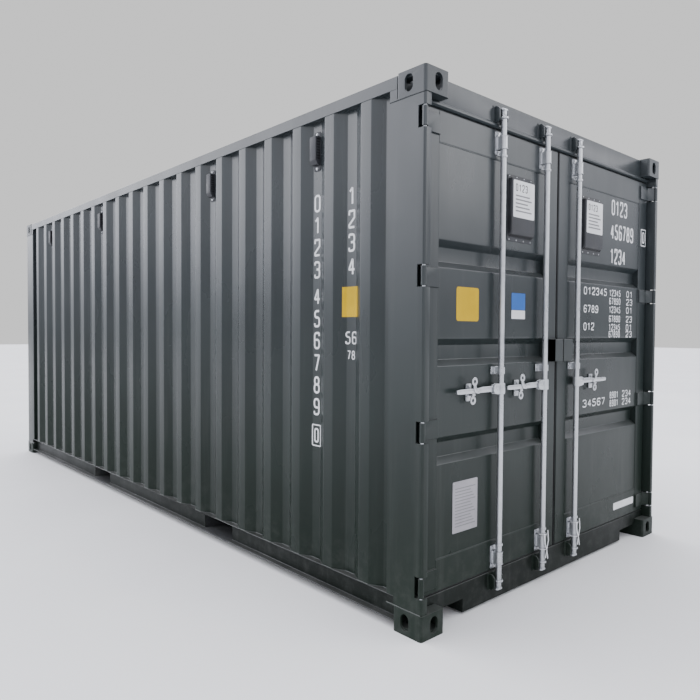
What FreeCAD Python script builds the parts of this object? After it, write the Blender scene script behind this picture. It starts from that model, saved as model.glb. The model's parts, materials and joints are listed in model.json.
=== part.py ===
import FreeCAD, Part
import os
import re

import Sketcher

# Shipping container, 20 ft dry box.  Millimetres, +Z up, origin on the floor under the middle.
# The length runs along X with the door end at +X; the left door is on the -Y side.

SIZES = {
    # overall box over the corner castings
    "length": 6058,
    "width": 2438,
    "height": 2591,
    # corner castings and their apertures
    "casting_length": 178,
    "casting_width": 162,
    "casting_height": 118,
    "casting_plate": 28,
    "casting_wall": 14,
    "casting_round": 14,
    "slot_length": 124,
    "slot_width": 63.5,
    "slot_from_end": 102.5,
    "slot_from_side": 89.5,
    "hole_height": 80,
    "hole_width": 51,
    # how far posts, rails and roof stand back behind the casting faces
    "skin_inset": 4,
    "top_inset": 6,
    # posts
    "post_plate": 6,
    "post_face": 45,
    "post_flange": 220,
    "post_box": 160,
    "post_round": 12,
    "front_post_face": 130,
    # rails
    "rail_low": 42,
    "rail_high": 162,
    "rail_flange": 45,
    "rail_plate": 5,
    "top_rail": 60,
    "top_rail_wall": 3,
    "front_sill": 70,
    # corrugated sheets
    "sheet": 2,
    "wall_inset": 2,
    "wall_pitch": 278,
    "wall_crest": 72,
    "wall_slope": 68,
    "wall_depth": 36,
    "front_pitch": 250,
    "front_crest": 110,
    "front_slope": 18,
    "front_depth": 45,
    "roof_pitch": 209,
    "roof_crest": 91,
    "roof_slope": 13,
    "roof_depth": 20,
    "header_plate": 4,
    "header_plate_length": 270,
    # floor
    "floor_top": 172,
    "board": 28,
    "board_gap": 2,
    "beam_height": 100,
    "beam_flange": 45,
    "beam_plate": 4,
    "pocket_width": 350,
    "pocket_spacing": 2050,
    "pocket_shift": 155,
    # door end frame
    "door_recess": 60,
    "header_drop": 144,
    "header_depth": 90,
    "lip_height": 26,
    "lip_proud": 9,
    "sill_low": 12.5,
    "sill_top": 162,
    "sill_depth": 110,
    "sill_notch_width": 214,
    "sill_notch_height": 68,
    # doors
    "door_thickness": 50,
    "door_gap": 10,
    "door_gap_low": 8,
    "door_meeting": 10,
    "outer_stile": 112,
    "inner_stile": 104,
    "door_rail_low": 156,
    "door_rail_high": 150,
    "panel_set": 3,
    "band_drop": 448,
    "band_pitch": 468,
    "band_height": 130,
    "band_slope": 30,
    "band_depth": 36,
    "gasket_wide": 26,
    "gasket_thick": 8,
    "gasket_lip": 5,
    "gasket_lip_low": 3,
    "gasket_lip_meeting": 4,
    # hinges
    "hinge_from_end": 72,
    "pin_depth": 17,
    "pin_inset": 17,
    "pin_radius": 8,
    "pin_clearance": 0.3,
    "knuckle_radius": 13,
    "blade_height": 88,
    "blade_plate": 10,
    "blade_bend": 60,
    "blade_end": 166,
    "notch_height": 100,
    "notch_side": 46,
    "notch_jamb": 56,
    "notch_split": 20,
    "lug_plate": 12,
    # lock rods
    "inner_rod": 175,
    "outer_rod": 590,
    "rod_depth": 27,
    "rod_radius": 15,
    "rod_wall": 3.5,
    "rod_high_gap": 50,
    "rod_low": 74,
    "rod_clearance": 0.4,
    "sleeve_radius": 20,
    "sleeve_flange": 24,
    "bracket_width": 64,
    "bracket_height": 118,
    "bracket_plate": 4,
    "bracket_inset": 14,
    "guide_height": 1210,
    "guide_tall": 40,
    # cams and keepers
    "cam_nose": 26,
    "cam_half": 10,
    "cam_wing": 24,
    "cam_wing_half": 13,
    "cam_gap": 18,
    "cam_tall": 52,
    "keeper_gap": 34,
    "keeper_plate": 9,
    "keeper_reach": 34,
    "keeper_tall": 80,
    # handles
    "handle_height": 1117,
    "hub_reach": 73,
    "hub_tall": 56,
    "hub_root": 9,
    "ear": 6,
    "pivot_reach": 40,
    "pivot_radius": 6,
    "handle_reach": 360,
    "handle_tall": 25,
    "handle_thick": 10,
    "handle_slack": 0.6,
    "catch_reach": 228,
    "eye_radius": 22,
    "eye_hole": 11,
    "eye_plate": 5,
    "eye_drop": 47,
    # door hoods and lock box
    "hood_inner": 268,
    "hood_outer": 503,
    "hood_drop": 52,
    "hood_tall": 350,
    "hood_proud": 27,
    "hood_plate": 2,
    "hood_slant": 22,
    "box_left": 85,
    "box_right": 100,
    "box_low": 1242,
    "box_high": 1368,
    "box_proud": 47,
    "box_plate": 4,
    "box_gap": 4,
    # side wall air vents
    "vent_height": 208,
    "vent_box": 153,
    "vent_wide": 56,
    "vent_proud": 34,
    "vent_drop": 50,
}

# Places that several pieces share, each worked out from the sizes.
PLACES = {
    "half_length": "length / 2",
    "half_width": "width / 2",
    "skin_side": "half_width - skin_inset",
    "skin_end": "half_length - skin_inset",
    "skin_top": "height - top_inset",
    "casting_low": "height - casting_height",
    "casting_side": "half_width - casting_width",
    "jamb": "half_width - post_face",
    "wall_side": "skin_side - wall_inset",
    "wall_inner": "wall_side - wall_depth - sheet",
    "wall_top": "skin_top - top_rail",
    "wall_reach": "length - 2 * post_flange - 2 * skin_inset",
    "wall_folds": "floor(wall_reach / wall_pitch)",
    "wall_flat": "(wall_reach - wall_folds * wall_pitch) / 2",
    "top_rail_in": "skin_side - top_rail",
    "rail_web": "skin_side - rail_flange",
    "front_face": "half_length - skin_inset",
    "front_reach": "width - 2 * front_post_face",
    "front_folds": "floor(front_reach / front_pitch)",
    "front_flat": "(front_reach - front_folds * front_pitch) / 2",
    "roof_level": "skin_top - roof_depth - sheet",
    "roof_start": "half_length - casting_length",
    "plate_end": "roof_start - header_plate_length",
    "roof_reach": "2 * plate_end",
    "roof_folds": "floor(roof_reach / roof_pitch)",
    "roof_flat": "(roof_reach - roof_folds * roof_pitch) / 2",
    "door_face": "half_length - door_recess",
    "door_back": "door_face - door_thickness",
    "header_low": "height - header_drop",
    "header_back": "door_face - header_depth",
    "sill_back": "door_face - sill_depth",
    "door_low": "sill_top + door_gap_low",
    "door_high": "header_low - door_gap_low",
    "door_edge": "jamb - door_gap",
    "panel_outer": "door_edge - outer_stile",
    "panel_inner": "door_meeting + inner_stile",
    "panel_low": "door_low + door_rail_low",
    "panel_high": "door_high - door_rail_high",
    "panel_face": "door_face - panel_set",
    "band_high": "panel_high - band_drop",
    "hood_high": "panel_high - hood_drop",
    "hood_low": "hood_high - hood_tall",
    "vent_high": "wall_top - vent_drop",
    "pin_x": "half_length - pin_depth",
    "pin_y": "half_width - pin_inset",
    "hinge_high": "door_high - hinge_from_end",
    "hinge_low": "door_low + hinge_from_end",
    "hinge_pitch": "(hinge_high - hinge_low) / 3",
    "rod_x": "half_length - rod_depth",
    "rod_high": "height - rod_high_gap",
    "board_low": "floor_top - board",
    "beam_low": "board_low - beam_height",
    "gasket_back": "door_back - gasket_thick",
    "bracket_face": "door_face + bracket_plate",
    "hub_half": "handle_thick / 2 + handle_slack + ear",
    "handle_low": "handle_height - handle_tall / 2",
}

doc = FreeCAD.newDocument("Container")
sheet = doc.addObject("Spreadsheet::Sheet", "Sizes")
for row, (alias, size) in enumerate(SIZES.items(), start=1):
    sheet.set("A%d" % row, alias)
    sheet.set("B%d" % row, str(size))
    sheet.setAlias("B%d" % row, alias)
doc.recompute()

SUBPARTS = []


def formula(text):
    """Spell out a formula: place names become their own formulas, sizes become sheet cells."""
    def spell(match):
        word = match.group(0)
        if word in PLACES:
            return "(" + formula(PLACES[word]) + ")"
        if word in SIZES:
            return "Sizes." + word
        return word
    return re.sub(r"[a-z][a-z_]*", spell, str(text))


def value(text):
    """The number that a formula gives with the sheet as it stands."""
    result = sheet.evalExpression(formula(text))
    return float(getattr(result, "Value", result))


def bind(item, field, text):
    item.setExpression(field, formula(text))


def place(item, x="0", y="0", z="0"):
    bind(item, "Placement.Base.x", x)
    bind(item, "Placement.Base.y", y)
    bind(item, "Placement.Base.z", z)


def box(name, xs, ys, zs):
    """A block between two formulas along each axis."""
    item = doc.addObject("Part::Box", name)
    for field, (low, high) in zip(("Length", "Width", "Height"), (xs, ys, zs)):
        bind(item, field, "(%s) - (%s)" % (high, low))
    place(item, xs[0], ys[0], zs[0])
    return item


AXIS_TURNS = {
    "Z": FreeCAD.Rotation(),
    "X": FreeCAD.Rotation(FreeCAD.Vector(0, 1, 0), 90),
    "Y": FreeCAD.Rotation(FreeCAD.Vector(1, 0, 0), -90),
}


def cylinder(name, radius, length, start, axis="Z"):
    """A round bar from its start point along +X, +Y or +Z."""
    item = doc.addObject("Part::Cylinder", name)
    item.Placement.Rotation = AXIS_TURNS[axis]
    bind(item, "Radius", radius)
    bind(item, "Height", length)
    place(item, *start)
    return item


def cut(name, base, tool):
    item = doc.addObject("Part::Cut", name)
    item.Base = base
    item.Tool = tool
    return item


def common(name, base, tool):
    item = doc.addObject("Part::Common", name)
    item.Base = base
    item.Tool = tool
    return item


def fuse(name, pieces):
    item = doc.addObject("Part::MultiFuse", name)
    item.Shapes = pieces
    return item


def group(name, pieces):
    item = doc.addObject("Part::Compound", name)
    item.Links = pieces
    return item


def mirror(name, source, normal):
    item = doc.addObject("Part::Mirroring", name)
    item.Source = source
    item.Normal = FreeCAD.Vector(*normal)
    return item


def ends_mirrored(name, source):
    """The piece and its twin at the other end of the box."""
    return group(name, [source, mirror(name + "Far", source, (1, 0, 0))])


def sides_mirrored(name, source):
    """The piece and its twin on the other long side."""
    return group(name, [source, mirror(name + "Twin", source, (0, 1, 0))])


def subpart(node, item):
    item.Label = node
    SUBPARTS.append((node, item))
    return item


def span(side, low, high):
    """Formulas for a stretch across the box, given as distances from its middle."""
    if side > 0:
        return (low, high)
    return ("-(%s)" % high, "-(%s)" % low)


def outline(body, name, plane, corners):
    """A closed sketch on one of the body's own planes, each corner tied to two formulas."""
    sketch = body.newObject("Sketcher::SketchObject", name)
    origin = [item for item in body.Origin.OriginFeatures if item.Role == plane][0]
    sketch.AttachmentSupport = [(origin, "")]
    sketch.MapMode = "FlatFace"
    points = [FreeCAD.Vector(value(across), value(up), 0) for across, up in corners]
    count = len(points)
    for index in range(count):
        sketch.addGeometry(Part.LineSegment(points[index], points[(index + 1) % count]))
    for index in range(count):
        join = ("Coincident", index, 2, (index + 1) % count, 1)
        sketch.addConstraint(Sketcher.Constraint(*join))
    for index, (across, up) in enumerate(corners):
        for kind, text, start in (("DistanceX", across, points[index].x),
                                  ("DistanceY", up, points[index].y)):
            limit = Sketcher.Constraint(kind, -1, 1, index, 1, start)
            number = sketch.addConstraint(limit)
            bind(sketch, "Constraints[%d]" % number, text)
    return sketch


def extrusion(name, plane, corners, length):
    """A body padded from a closed outline; the pad runs along +Z, -Y or +X of its own plane."""
    body = doc.addObject("PartDesign::Body", name)
    sketch = outline(body, name + "Outline", plane, corners)
    pad = body.newObject("PartDesign::Pad", name + "Pad")
    pad.Profile = sketch
    bind(pad, "Length", length)
    body.Tip = pad
    return body, pad, sketch


def folded_sheet(name, plane, pitch, crest, slope, depth, height, folds):
    """A sheet in trapezoid folds: one fold is padded, then repeated along its outline."""
    bend = "sheet * tan(atan(%s / (%s)) / 2)" % (depth, slope)
    hollow = "(%s - %s - 2 * (%s)) / 2" % (pitch, crest, slope)
    up_start = hollow
    up_end = "%s + %s" % (hollow, slope)
    down_start = "%s + %s" % (up_end, crest)
    down_end = "%s + %s" % (down_start, slope)
    low = "-(%s)" % depth
    corners = [
        ("0", low),
        (up_start, low),
        (up_end, "0"),
        (down_start, "0"),
        (down_end, low),
        (pitch, low),
        (pitch, low + " - sheet"),
        (down_end + " - " + bend, low + " - sheet"),
        (down_start + " - " + bend, "-sheet"),
        (up_end + " + " + bend, "-sheet"),
        (up_start + " + " + bend, low + " - sheet"),
        ("0", low + " - sheet"),
    ]
    body, pad, sketch = extrusion(name, plane, corners, height)
    pattern = body.newObject("PartDesign::LinearPattern", name + "Folds")
    pattern.Originals = [pad]
    pattern.Direction = (sketch, ["H_Axis"])
    bind(pattern, "Length", "%s * (%s - 1)" % (pitch, folds))
    bind(pattern, "Occurrences", folds)
    body.Tip = pattern
    return body


def round_uprights(body, feature, spots, radius):
    """Round the upright edges of a padded body that stand at the given spots."""
    doc.recompute()
    wanted = [FreeCAD.Vector(value(x), value(y), 0) for x, y in spots]
    names = []
    for number, edge in enumerate(feature.Shape.Edges, start=1):
        low, high = edge.Vertexes[0].Point, edge.Vertexes[-1].Point
        upright = abs(low.x - high.x) + abs(low.y - high.y) < 0.01
        for spot in wanted:
            if upright and abs(low.x - spot.x) + abs(low.y - spot.y) < 0.01:
                names.append("Edge%d" % number)
    fillet = body.newObject("PartDesign::Fillet", body.Name + "Round")
    fillet.Base = (feature, names)
    bind(fillet, "Radius", radius)
    body.Tip = fillet
    return fillet


def slot_cutter(name, centre, long_way, long_size, short_size, through, depth):
    """A straight slot with round ends, for cutting: long_way and through name two axes."""
    axes = "XYZ"
    half_flat = "((%s) - (%s)) / 2" % (long_size, short_size)
    radius = "(%s) / 2" % short_size
    spans = []
    for axis, middle in zip(axes, centre):
        if axis == through:
            spans.append((middle, "(%s) + (%s)" % (middle, depth)))
        elif axis == long_way:
            spans.append(("(%s) - %s" % (middle, half_flat), "(%s) + %s" % (middle, half_flat)))
        else:
            spans.append(("(%s) - %s" % (middle, radius), "(%s) + %s" % (middle, radius)))
    pieces = [box(name + "Flat", *spans)]
    for end, sign in (("Low", "-"), ("High", "+")):
        start = list(centre)
        turn = axes.index(long_way)
        start[turn] = "(%s) %s %s" % (centre[turn], sign, half_flat)
        pieces.append(cylinder(name + end, radius, depth, start, through))
    return fuse(name, pieces)


# ---------------------------------------------------------------- corner castings

def casting(name, low, plate_low, plate_high):
    """One hollow casting at the +X +Y corner: a slot in the outer plate, two upright holes."""
    corners = [
        ("half_length - casting_length", "casting_side"),
        ("half_length", "casting_side"),
        ("half_length", "half_width"),
        ("half_length - casting_length", "half_width"),
    ]
    body, pad, _ = extrusion(name + "Block", "XY_Plane", corners, "casting_height")
    round_uprights(body, pad, [corners[1], corners[2], corners[3]], "casting_round")
    bind(body, "Placement.Base.z", low)
    cavity = box(
        name + "Cavity",
        ("half_length - casting_length + casting_wall", "half_length - casting_wall"),
        ("casting_side + casting_wall", "half_width - casting_wall"),
        ("%s + %s" % (low, plate_low), "%s + casting_height - (%s)" % (low, plate_high)),
    )
    middle = "%s + casting_height / 2" % low
    slot_x = "half_length - slot_from_end"
    slot_y = "half_width - slot_from_side"
    if plate_high == "casting_plate":
        slot_z = "%s + casting_height - casting_plate - 1" % low
    else:
        slot_z = "%s - 1" % low
    cutters = [
        cavity,
        slot_cutter(name + "Slot", (slot_x, slot_y, slot_z), "X", "slot_length", "slot_width",
                    "Z", "casting_plate + 2"),
        slot_cutter(name + "End", ("half_length - casting_wall - 1", slot_y, middle), "Z",
                    "hole_height", "hole_width", "X", "casting_wall + 2"),
        slot_cutter(name + "Side", (slot_x, "half_width - casting_wall - 1", middle), "Z",
                    "hole_height", "hole_width", "Y", "casting_wall + 2"),
    ]
    return cut(name, body, fuse(name + "Cutters", cutters))


def castings():
    top = casting("TopCasting", "casting_low", "casting_wall", "casting_plate")
    low = casting("LowCasting", "0", "casting_plate", "casting_wall")
    for node, item, name in (("top_castings", top, "Top"), ("bottom_castings", low, "Low")):
        pair = sides_mirrored(name + "Pair", item)
        subpart(node, ends_mirrored(name + "Four", pair))


# ---------------------------------------------------------------- posts

def hinge_level(index):
    return "hinge_low + %d * hinge_pitch" % index


def post_flange(name):
    """The plate that runs on from a post's side, from the bottom rail to the top rail."""
    along = ("skin_end - post_flange", "roof_start")
    if name == "Front":
        along = ("-roof_start", "-skin_end + post_flange")
    return box(name + "PostFlange", along, ("skin_side - post_plate", "skin_side"),
               ("rail_high", "wall_top"))


def rear_posts():
    """Pressed plate posts: side flange, rear face and jamb, notched and lugged for the hinges."""
    corners = [
        ("roof_start", "skin_side - post_plate"),
        ("skin_end - post_box", "skin_side - post_plate"),
        ("skin_end - post_box", "jamb"),
        ("skin_end", "jamb"),
        ("skin_end", "skin_side"),
        ("roof_start", "skin_side"),
    ]
    length = "casting_low - casting_height"
    body, pad, _ = extrusion("RearPost", "XY_Plane", corners, length)
    round_uprights(body, pad, [corners[4]], "post_round")
    bind(body, "Placement.Base.z", "casting_height")
    hollow = box(
        "RearPostHollow",
        ("skin_end - post_box + post_plate", "skin_end - post_plate"),
        ("jamb + post_plate", "skin_side - post_plate"),
        ("casting_height - 1", "casting_low + 1"),
    )
    tube = fuse("RearPostTube", [cut("RearPostShell", body, hollow), post_flange("Rear")])
    lugs = []
    notches = []
    for index in range(4):
        level = hinge_level(index)
        low = "%s - notch_height / 2" % level
        high = "%s + notch_height / 2" % level
        inner = ("skin_end - post_box + post_plate", "skin_end - post_plate")
        across = ("jamb + post_plate", "skin_side - post_plate")
        lugs.append(box("LugLow%d" % index, inner, across, (low + " - lug_plate", low)))
        lugs.append(box("LugHigh%d" % index, inner, across, (high, high + " + lug_plate")))
        notches.append(box("NotchSide%d" % index, ("half_length - notch_side", "half_length + 1"),
                           ("half_width - notch_split", "half_width + 1"), (low, high)))
        notches.append(box("NotchJamb%d" % index, ("half_length - notch_jamb", "half_length + 1"),
                           ("jamb - 1", "half_width - notch_split"), (low, high)))
        bore = ("pin_x", "pin_y", low + " - lug_plate - 1")
        notches.append(cylinder("LugBore%d" % index, "pin_radius + 0.1",
                                "notch_height + 2 * lug_plate + 2", bore))
    post = cut("RearPostRight", fuse("RearPostLugged", [tube] + lugs), fuse("Notches", notches))
    subpart("rear_posts", sides_mirrored("RearPosts", post))


def hinge_pins():
    pins = []
    for index in range(4):
        start = "%s - notch_height / 2 - lug_plate" % hinge_level(index)
        pins.append(cylinder("HingePin%d" % index, "pin_radius",
                             "notch_height + 2 * lug_plate", ("pin_x", "pin_y", start)))
    subpart("hinge_pins", sides_mirrored("HingePins", group("RightPins", pins)))


def front_posts():
    """Single pressed angle posts: end face, side flange and an inner return on each."""
    end = "-front_face"
    corners = [
        (end, "half_width - front_post_face"),
        (end, "skin_side"),
        ("-roof_start", "skin_side"),
        ("-roof_start", "skin_side - post_plate"),
        (end + " + post_plate", "skin_side - post_plate"),
        (end + " + post_plate", "half_width - front_post_face"),
    ]
    length = "casting_low - casting_height"
    body, pad, _ = extrusion("FrontPost", "XY_Plane", corners, length)
    round_uprights(body, pad, [corners[1]], "post_round")
    bind(body, "Placement.Base.z", "casting_height")
    post = fuse("FrontPostRight", [body, post_flange("Front")])
    subpart("front_posts", sides_mirrored("FrontPosts", post))


# ---------------------------------------------------------------- rails and frames

def pocket_centres():
    return ["pocket_shift - pocket_spacing / 2", "pocket_shift + pocket_spacing / 2"]


def bottom_side_rails():
    """Channels with both flanges outward, in lengths between the lift pockets, and over each
    pocket a strip of web and top flange that joins two lengths."""
    corners = [
        ("rail_web", "rail_low"),
        ("skin_side", "rail_low"),
        ("skin_side", "rail_low + rail_plate"),
        ("rail_web + rail_plate", "rail_low + rail_plate"),
        ("rail_web + rail_plate", "rail_high - rail_plate"),
        ("skin_side", "rail_high - rail_plate"),
        ("skin_side", "rail_high"),
        ("rail_web", "rail_high"),
    ]
    body, _, _ = extrusion("SideRail", "YZ_Plane", corners, "length - 2 * casting_length")
    bind(body, "Placement.Base.x", "-(half_length - casting_length)")
    bays = []
    strips = []
    for index, centre in enumerate(pocket_centres()):
        edges = (centre + " - pocket_width / 2", centre + " + pocket_width / 2")
        across = ("rail_web - 1", "half_width")
        bays.append(box("RailBay%d" % index, edges, across, ("rail_low - 1", "rail_high + 1")))
        over = box("OverBay%d" % index, edges, across,
                   ("board_low - beam_plate", "rail_high + 1"))
        strips.append(common("RailStrip%d" % index, body, over))
    rail = cut("SideRailCut", body, fuse("RailBays", bays))
    subpart("bottom_side_rails", sides_mirrored("SideRails", rail))
    subpart("rail_pocket_strips", sides_mirrored("PocketStrips", group("RightStrips", strips)))


def square_tube(name, xs, ys, zs, wall, along):
    """A straight rectangular tube, open along one axis."""
    spans = []
    for axis, (low, high) in zip("XYZ", (xs, ys, zs)):
        if axis == along:
            spans.append(("(%s) - 1" % low, "(%s) + 1" % high))
        else:
            spans.append(("(%s) + %s" % (low, wall), "(%s) - %s" % (high, wall)))
    return cut(name, box(name + "Outer", xs, ys, zs), box(name + "Bore", *spans))


def top_rails():
    along = ("-(half_length - casting_length)", "half_length - casting_length")
    rail = square_tube("TopRail", along, ("top_rail_in", "skin_side"),
                       ("wall_top", "skin_top"), "top_rail_wall", "X")
    subpart("top_side_rails", sides_mirrored("TopRails", rail))
    front = square_tube("FrontTopRail", ("-front_face", "-front_face + top_rail"),
                        ("-casting_side", "casting_side"), ("wall_top", "skin_top"),
                        "top_rail_wall", "Y")
    subpart("front_top_rail", front)


def front_bottom_rail():
    rail = square_tube("FrontBottomRail", ("-front_face", "-front_face + front_sill"),
                       ("-casting_side", "casting_side"), ("rail_low", "rail_high"),
                       "rail_plate", "Y")
    subpart("front_bottom_rail", rail)


def door_header():
    """Deep header between the castings with a drip lip standing proud along its lower edge."""
    face = box("HeaderFace", ("header_back", "door_face"), ("-casting_side", "casting_side"),
               ("casting_low", "skin_top"))
    low = box("HeaderLow", ("header_back", "door_face"), ("-jamb", "jamb"),
              ("header_low", "casting_low"))
    corners = [
        ("door_face", "header_low"),
        ("door_face + lip_proud", "header_low + lip_height / 4"),
        ("door_face + lip_proud", "header_low + lip_height * 3 / 4"),
        ("door_face", "header_low + lip_height"),
    ]
    lip, _, _ = extrusion("HeaderLip", "XZ_Plane", corners, "2 * jamb")
    bind(lip, "Placement.Base.y", "jamb")
    subpart("door_header", fuse("DoorHeader", [face, low, lip]))


def door_sill():
    """Sill under the doors, its skirt cut short beside each bottom casting."""
    low = box("SillLow", ("sill_back", "door_face"), ("-casting_side", "casting_side"),
              ("sill_low", "casting_height"))
    top = box("SillTop", ("sill_back", "door_face"), ("-jamb", "jamb"),
              ("casting_height", "sill_top"))
    notch = box("SillNotch", ("sill_back - 1", "door_face + 1"),
                ("casting_side - sill_notch_width", "casting_side + 1"),
                ("sill_low - 1", "sill_low + sill_notch_height"))
    notches = group("SillNotches", [notch, mirror("SillNotchTwin", notch, (0, 1, 0))])
    subpart("door_sill", cut("DoorSill", fuse("SillBlock", [low, top]), notches))


def cam_keepers():
    """Painted cheek pairs that stand either side of each rod's cam, on header and sill."""
    cheeks = []
    for name, rod in ROD_SPOTS:
        for end, low in (("Top", "header_low + lip_height"),
                         ("Low", "door_low - 2 * door_gap_low - keeper_tall")):
            for mark, sign in (("A", -1), ("B", 1)):
                edge = "(%s) + %d * (keeper_gap + keeper_plate / 2)" % (rod, sign)
                cheeks.append(box("Keeper%s%s%s" % (name, end, mark),
                                  ("door_face", "door_face + keeper_reach"),
                                  (edge + " - keeper_plate / 2", edge + " + keeper_plate / 2"),
                                  (low, low + " + keeper_tall")))
    subpart("cam_keepers", group("CamKeepers", cheeks))


# ---------------------------------------------------------------- walls and roof

def side_walls():
    folds = folded_sheet("SideFolds", "XY_Plane", "wall_pitch", "wall_crest", "wall_slope",
                         "wall_depth", "wall_top - rail_high", "wall_folds")
    place(folds, "-(half_length - post_flange - skin_inset) + wall_flat", "wall_side",
          "rail_high")
    depth = ("wall_inner", "wall_inner + sheet")
    tall = ("rail_high", "wall_top")
    reach = "half_length - post_flange - skin_inset"
    flats = [
        box("SideFlatRear", (reach + " - wall_flat", reach), depth, tall),
        box("SideFlatFront", ("-(%s)" % reach, "-(%s) + wall_flat" % reach), depth, tall),
    ]
    # the sheet's upright edges turn out to meet the posts' side flanges
    turned = ("wall_inner", "skin_side - post_plate")
    flats.append(box("SideTurnRear", (reach, reach + " + sheet"), turned, tall))
    flats.append(box("SideTurnFront", ("-(%s) - sheet" % reach, "-(%s)" % reach), turned, tall))
    wall = fuse("RightWall", [folds] + flats)
    subpart("right_side_wall", wall)
    subpart("left_side_wall", mirror("LeftWall", wall, (0, 1, 0)))


def front_wall():
    """Upright folds across the blind end, set back from the front posts' faces."""
    folds = folded_sheet("FrontFolds", "XY_Plane", "front_pitch", "front_crest", "front_slope",
                         "front_depth", "wall_top - rail_high", "front_folds")
    folds.Placement.Rotation = FreeCAD.Rotation(FreeCAD.Vector(0, 0, 1), 90)
    face = "-front_face + post_plate"
    place(folds, face, "-(width / 2 - front_post_face) + front_flat", "rail_high")
    back = ("%s + front_depth" % face, "%s + front_depth + sheet" % face)
    reach = "half_width - front_post_face"
    pieces = [folds]
    for name, side in (("Right", 1), ("Left", -1)):
        inner = span(side, reach + " - front_flat", "casting_side")
        outer = span(side, "casting_side", "skin_side - post_plate")
        pieces.append(box("FrontFlat" + name, back, inner, ("rail_high", "wall_top")))
        pieces.append(box("FrontEdge" + name, back, outer, ("rail_high", "casting_low")))
    subpart("front_wall", fuse("FrontWall", pieces))


def roof():
    folds = folded_sheet("RoofFolds", "XZ_Plane", "roof_pitch", "roof_crest", "roof_slope",
                         "roof_depth", "2 * top_rail_in", "roof_folds")
    place(folds, "-plate_end + roof_flat", "top_rail_in", "skin_top")
    level = ("roof_level", "roof_level + sheet")
    across = ("-top_rail_in", "top_rail_in")
    flats = [
        box("RoofFlatRear", ("plate_end - roof_flat", "plate_end"), across, level),
        box("RoofFlatFront", ("-plate_end", "-plate_end + roof_flat"), across, level),
    ]
    subpart("roof_panel", fuse("RoofPanel", [folds] + flats))
    between = ("-casting_side", "casting_side")
    thick = ("roof_level", "roof_level + header_plate")
    rear = [box("RearPlateWide", ("plate_end", "roof_start"), across, thick),
            box("RearPlateEnd", ("roof_start", "header_back"), between, thick)]
    front = [box("FrontPlateWide", ("-roof_start", "-plate_end"), across, thick),
             box("FrontPlateEnd", ("-front_face + top_rail", "-roof_start"), between, thick)]
    subpart("roof_header_plates", group("HeaderPlates", [fuse("RearPlate", rear),
                                                         fuse("FrontPlate", front)]))


# ---------------------------------------------------------------- floor

def beam(name, face):
    """One floor cross-member: an open channel lying on its side, from rail web to rail web."""
    across = ("-rail_web", "rail_web")
    web = box(name + "Web", (face, face + " + beam_plate"), across, ("beam_low", "board_low"))
    low = box(name + "Low", (face, face + " + beam_flange"), across,
              ("beam_low", "beam_low + beam_plate"))
    top = box(name + "Top", (face, face + " + beam_flange"), across,
              ("board_low - beam_plate", "board_low"))
    return fuse(name, [web, low, top])


def floor():
    left, right = pocket_centres()
    bays = [
        ("-front_face + front_sill", left + " - pocket_width / 2 - beam_plate", 5),
        (left + " + pocket_width / 2 + beam_plate", right + " - pocket_width / 2 - beam_plate", 5),
        (right + " + pocket_width / 2 + beam_plate", "sill_back", 4),
    ]
    beams = []
    for bay, (start, stop, count) in enumerate(bays):
        for index in range(count):
            step = "((%s) - (%s)) / %d" % (stop, start, count + 1)
            face = "(%s) + %d * (%s) - beam_flange / 2" % (start, index + 1, step)
            beams.append(beam("Beam%d%d" % (bay, index), face))
    subpart("floor_beams", group("FloorBeams", beams))

    plates = []
    cheeks = []
    for index, centre in enumerate(pocket_centres()):
        edges = (centre + " - pocket_width / 2", centre + " + pocket_width / 2")
        across = ("-rail_web", "rail_web")
        plates.append(box("TunnelLow%d" % index, edges, ("-skin_side", "skin_side"),
                          ("rail_low", "rail_low + beam_plate")))
        plates.append(box("TunnelTop%d" % index, edges, across,
                          ("board_low - beam_plate", "board_low")))
        cheeks.append(box("TunnelNear%d" % index, (edges[0] + " - beam_plate", edges[0]), across,
                          ("rail_low", "board_low")))
        cheeks.append(box("TunnelFar%d" % index, (edges[1], edges[1] + " + beam_plate"), across,
                          ("rail_low", "board_low")))
    subpart("lift_pocket_plates", group("LiftPocketPlates", plates))
    subpart("lift_pocket_sides", group("LiftPocketSides", cheeks))

    boards = []
    start = "-front_face + front_sill + board_gap"
    step = "((sill_back) - (%s)) / 5" % start
    for index in range(5):
        low = "%s + %d * (%s)" % (start, index, step)
        along = (low, low + " + (%s) - board_gap" % step)
        for side, name in ((1, "Right"), (-1, "Left")):
            boards.append(box("Board%s%d" % (name, index), along,
                              span(side, "board_gap / 2", "rail_web - board_gap"),
                              ("board_low", "floor_top")))
    subpart("floor_boards", group("FloorBoards", boards))


# ---------------------------------------------------------------- doors

def door_frame(side, name):
    outer = box(name + "FrameOuter", ("door_back", "door_face"),
                span(side, "door_meeting", "door_edge"), ("door_low", "door_high"))
    inner = box(name + "FrameInner", ("door_back - 1", "door_face + 1"),
                span(side, "panel_inner", "panel_outer"), ("panel_low", "panel_high"))
    return cut(name + "Frame", outer, inner)


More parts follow.
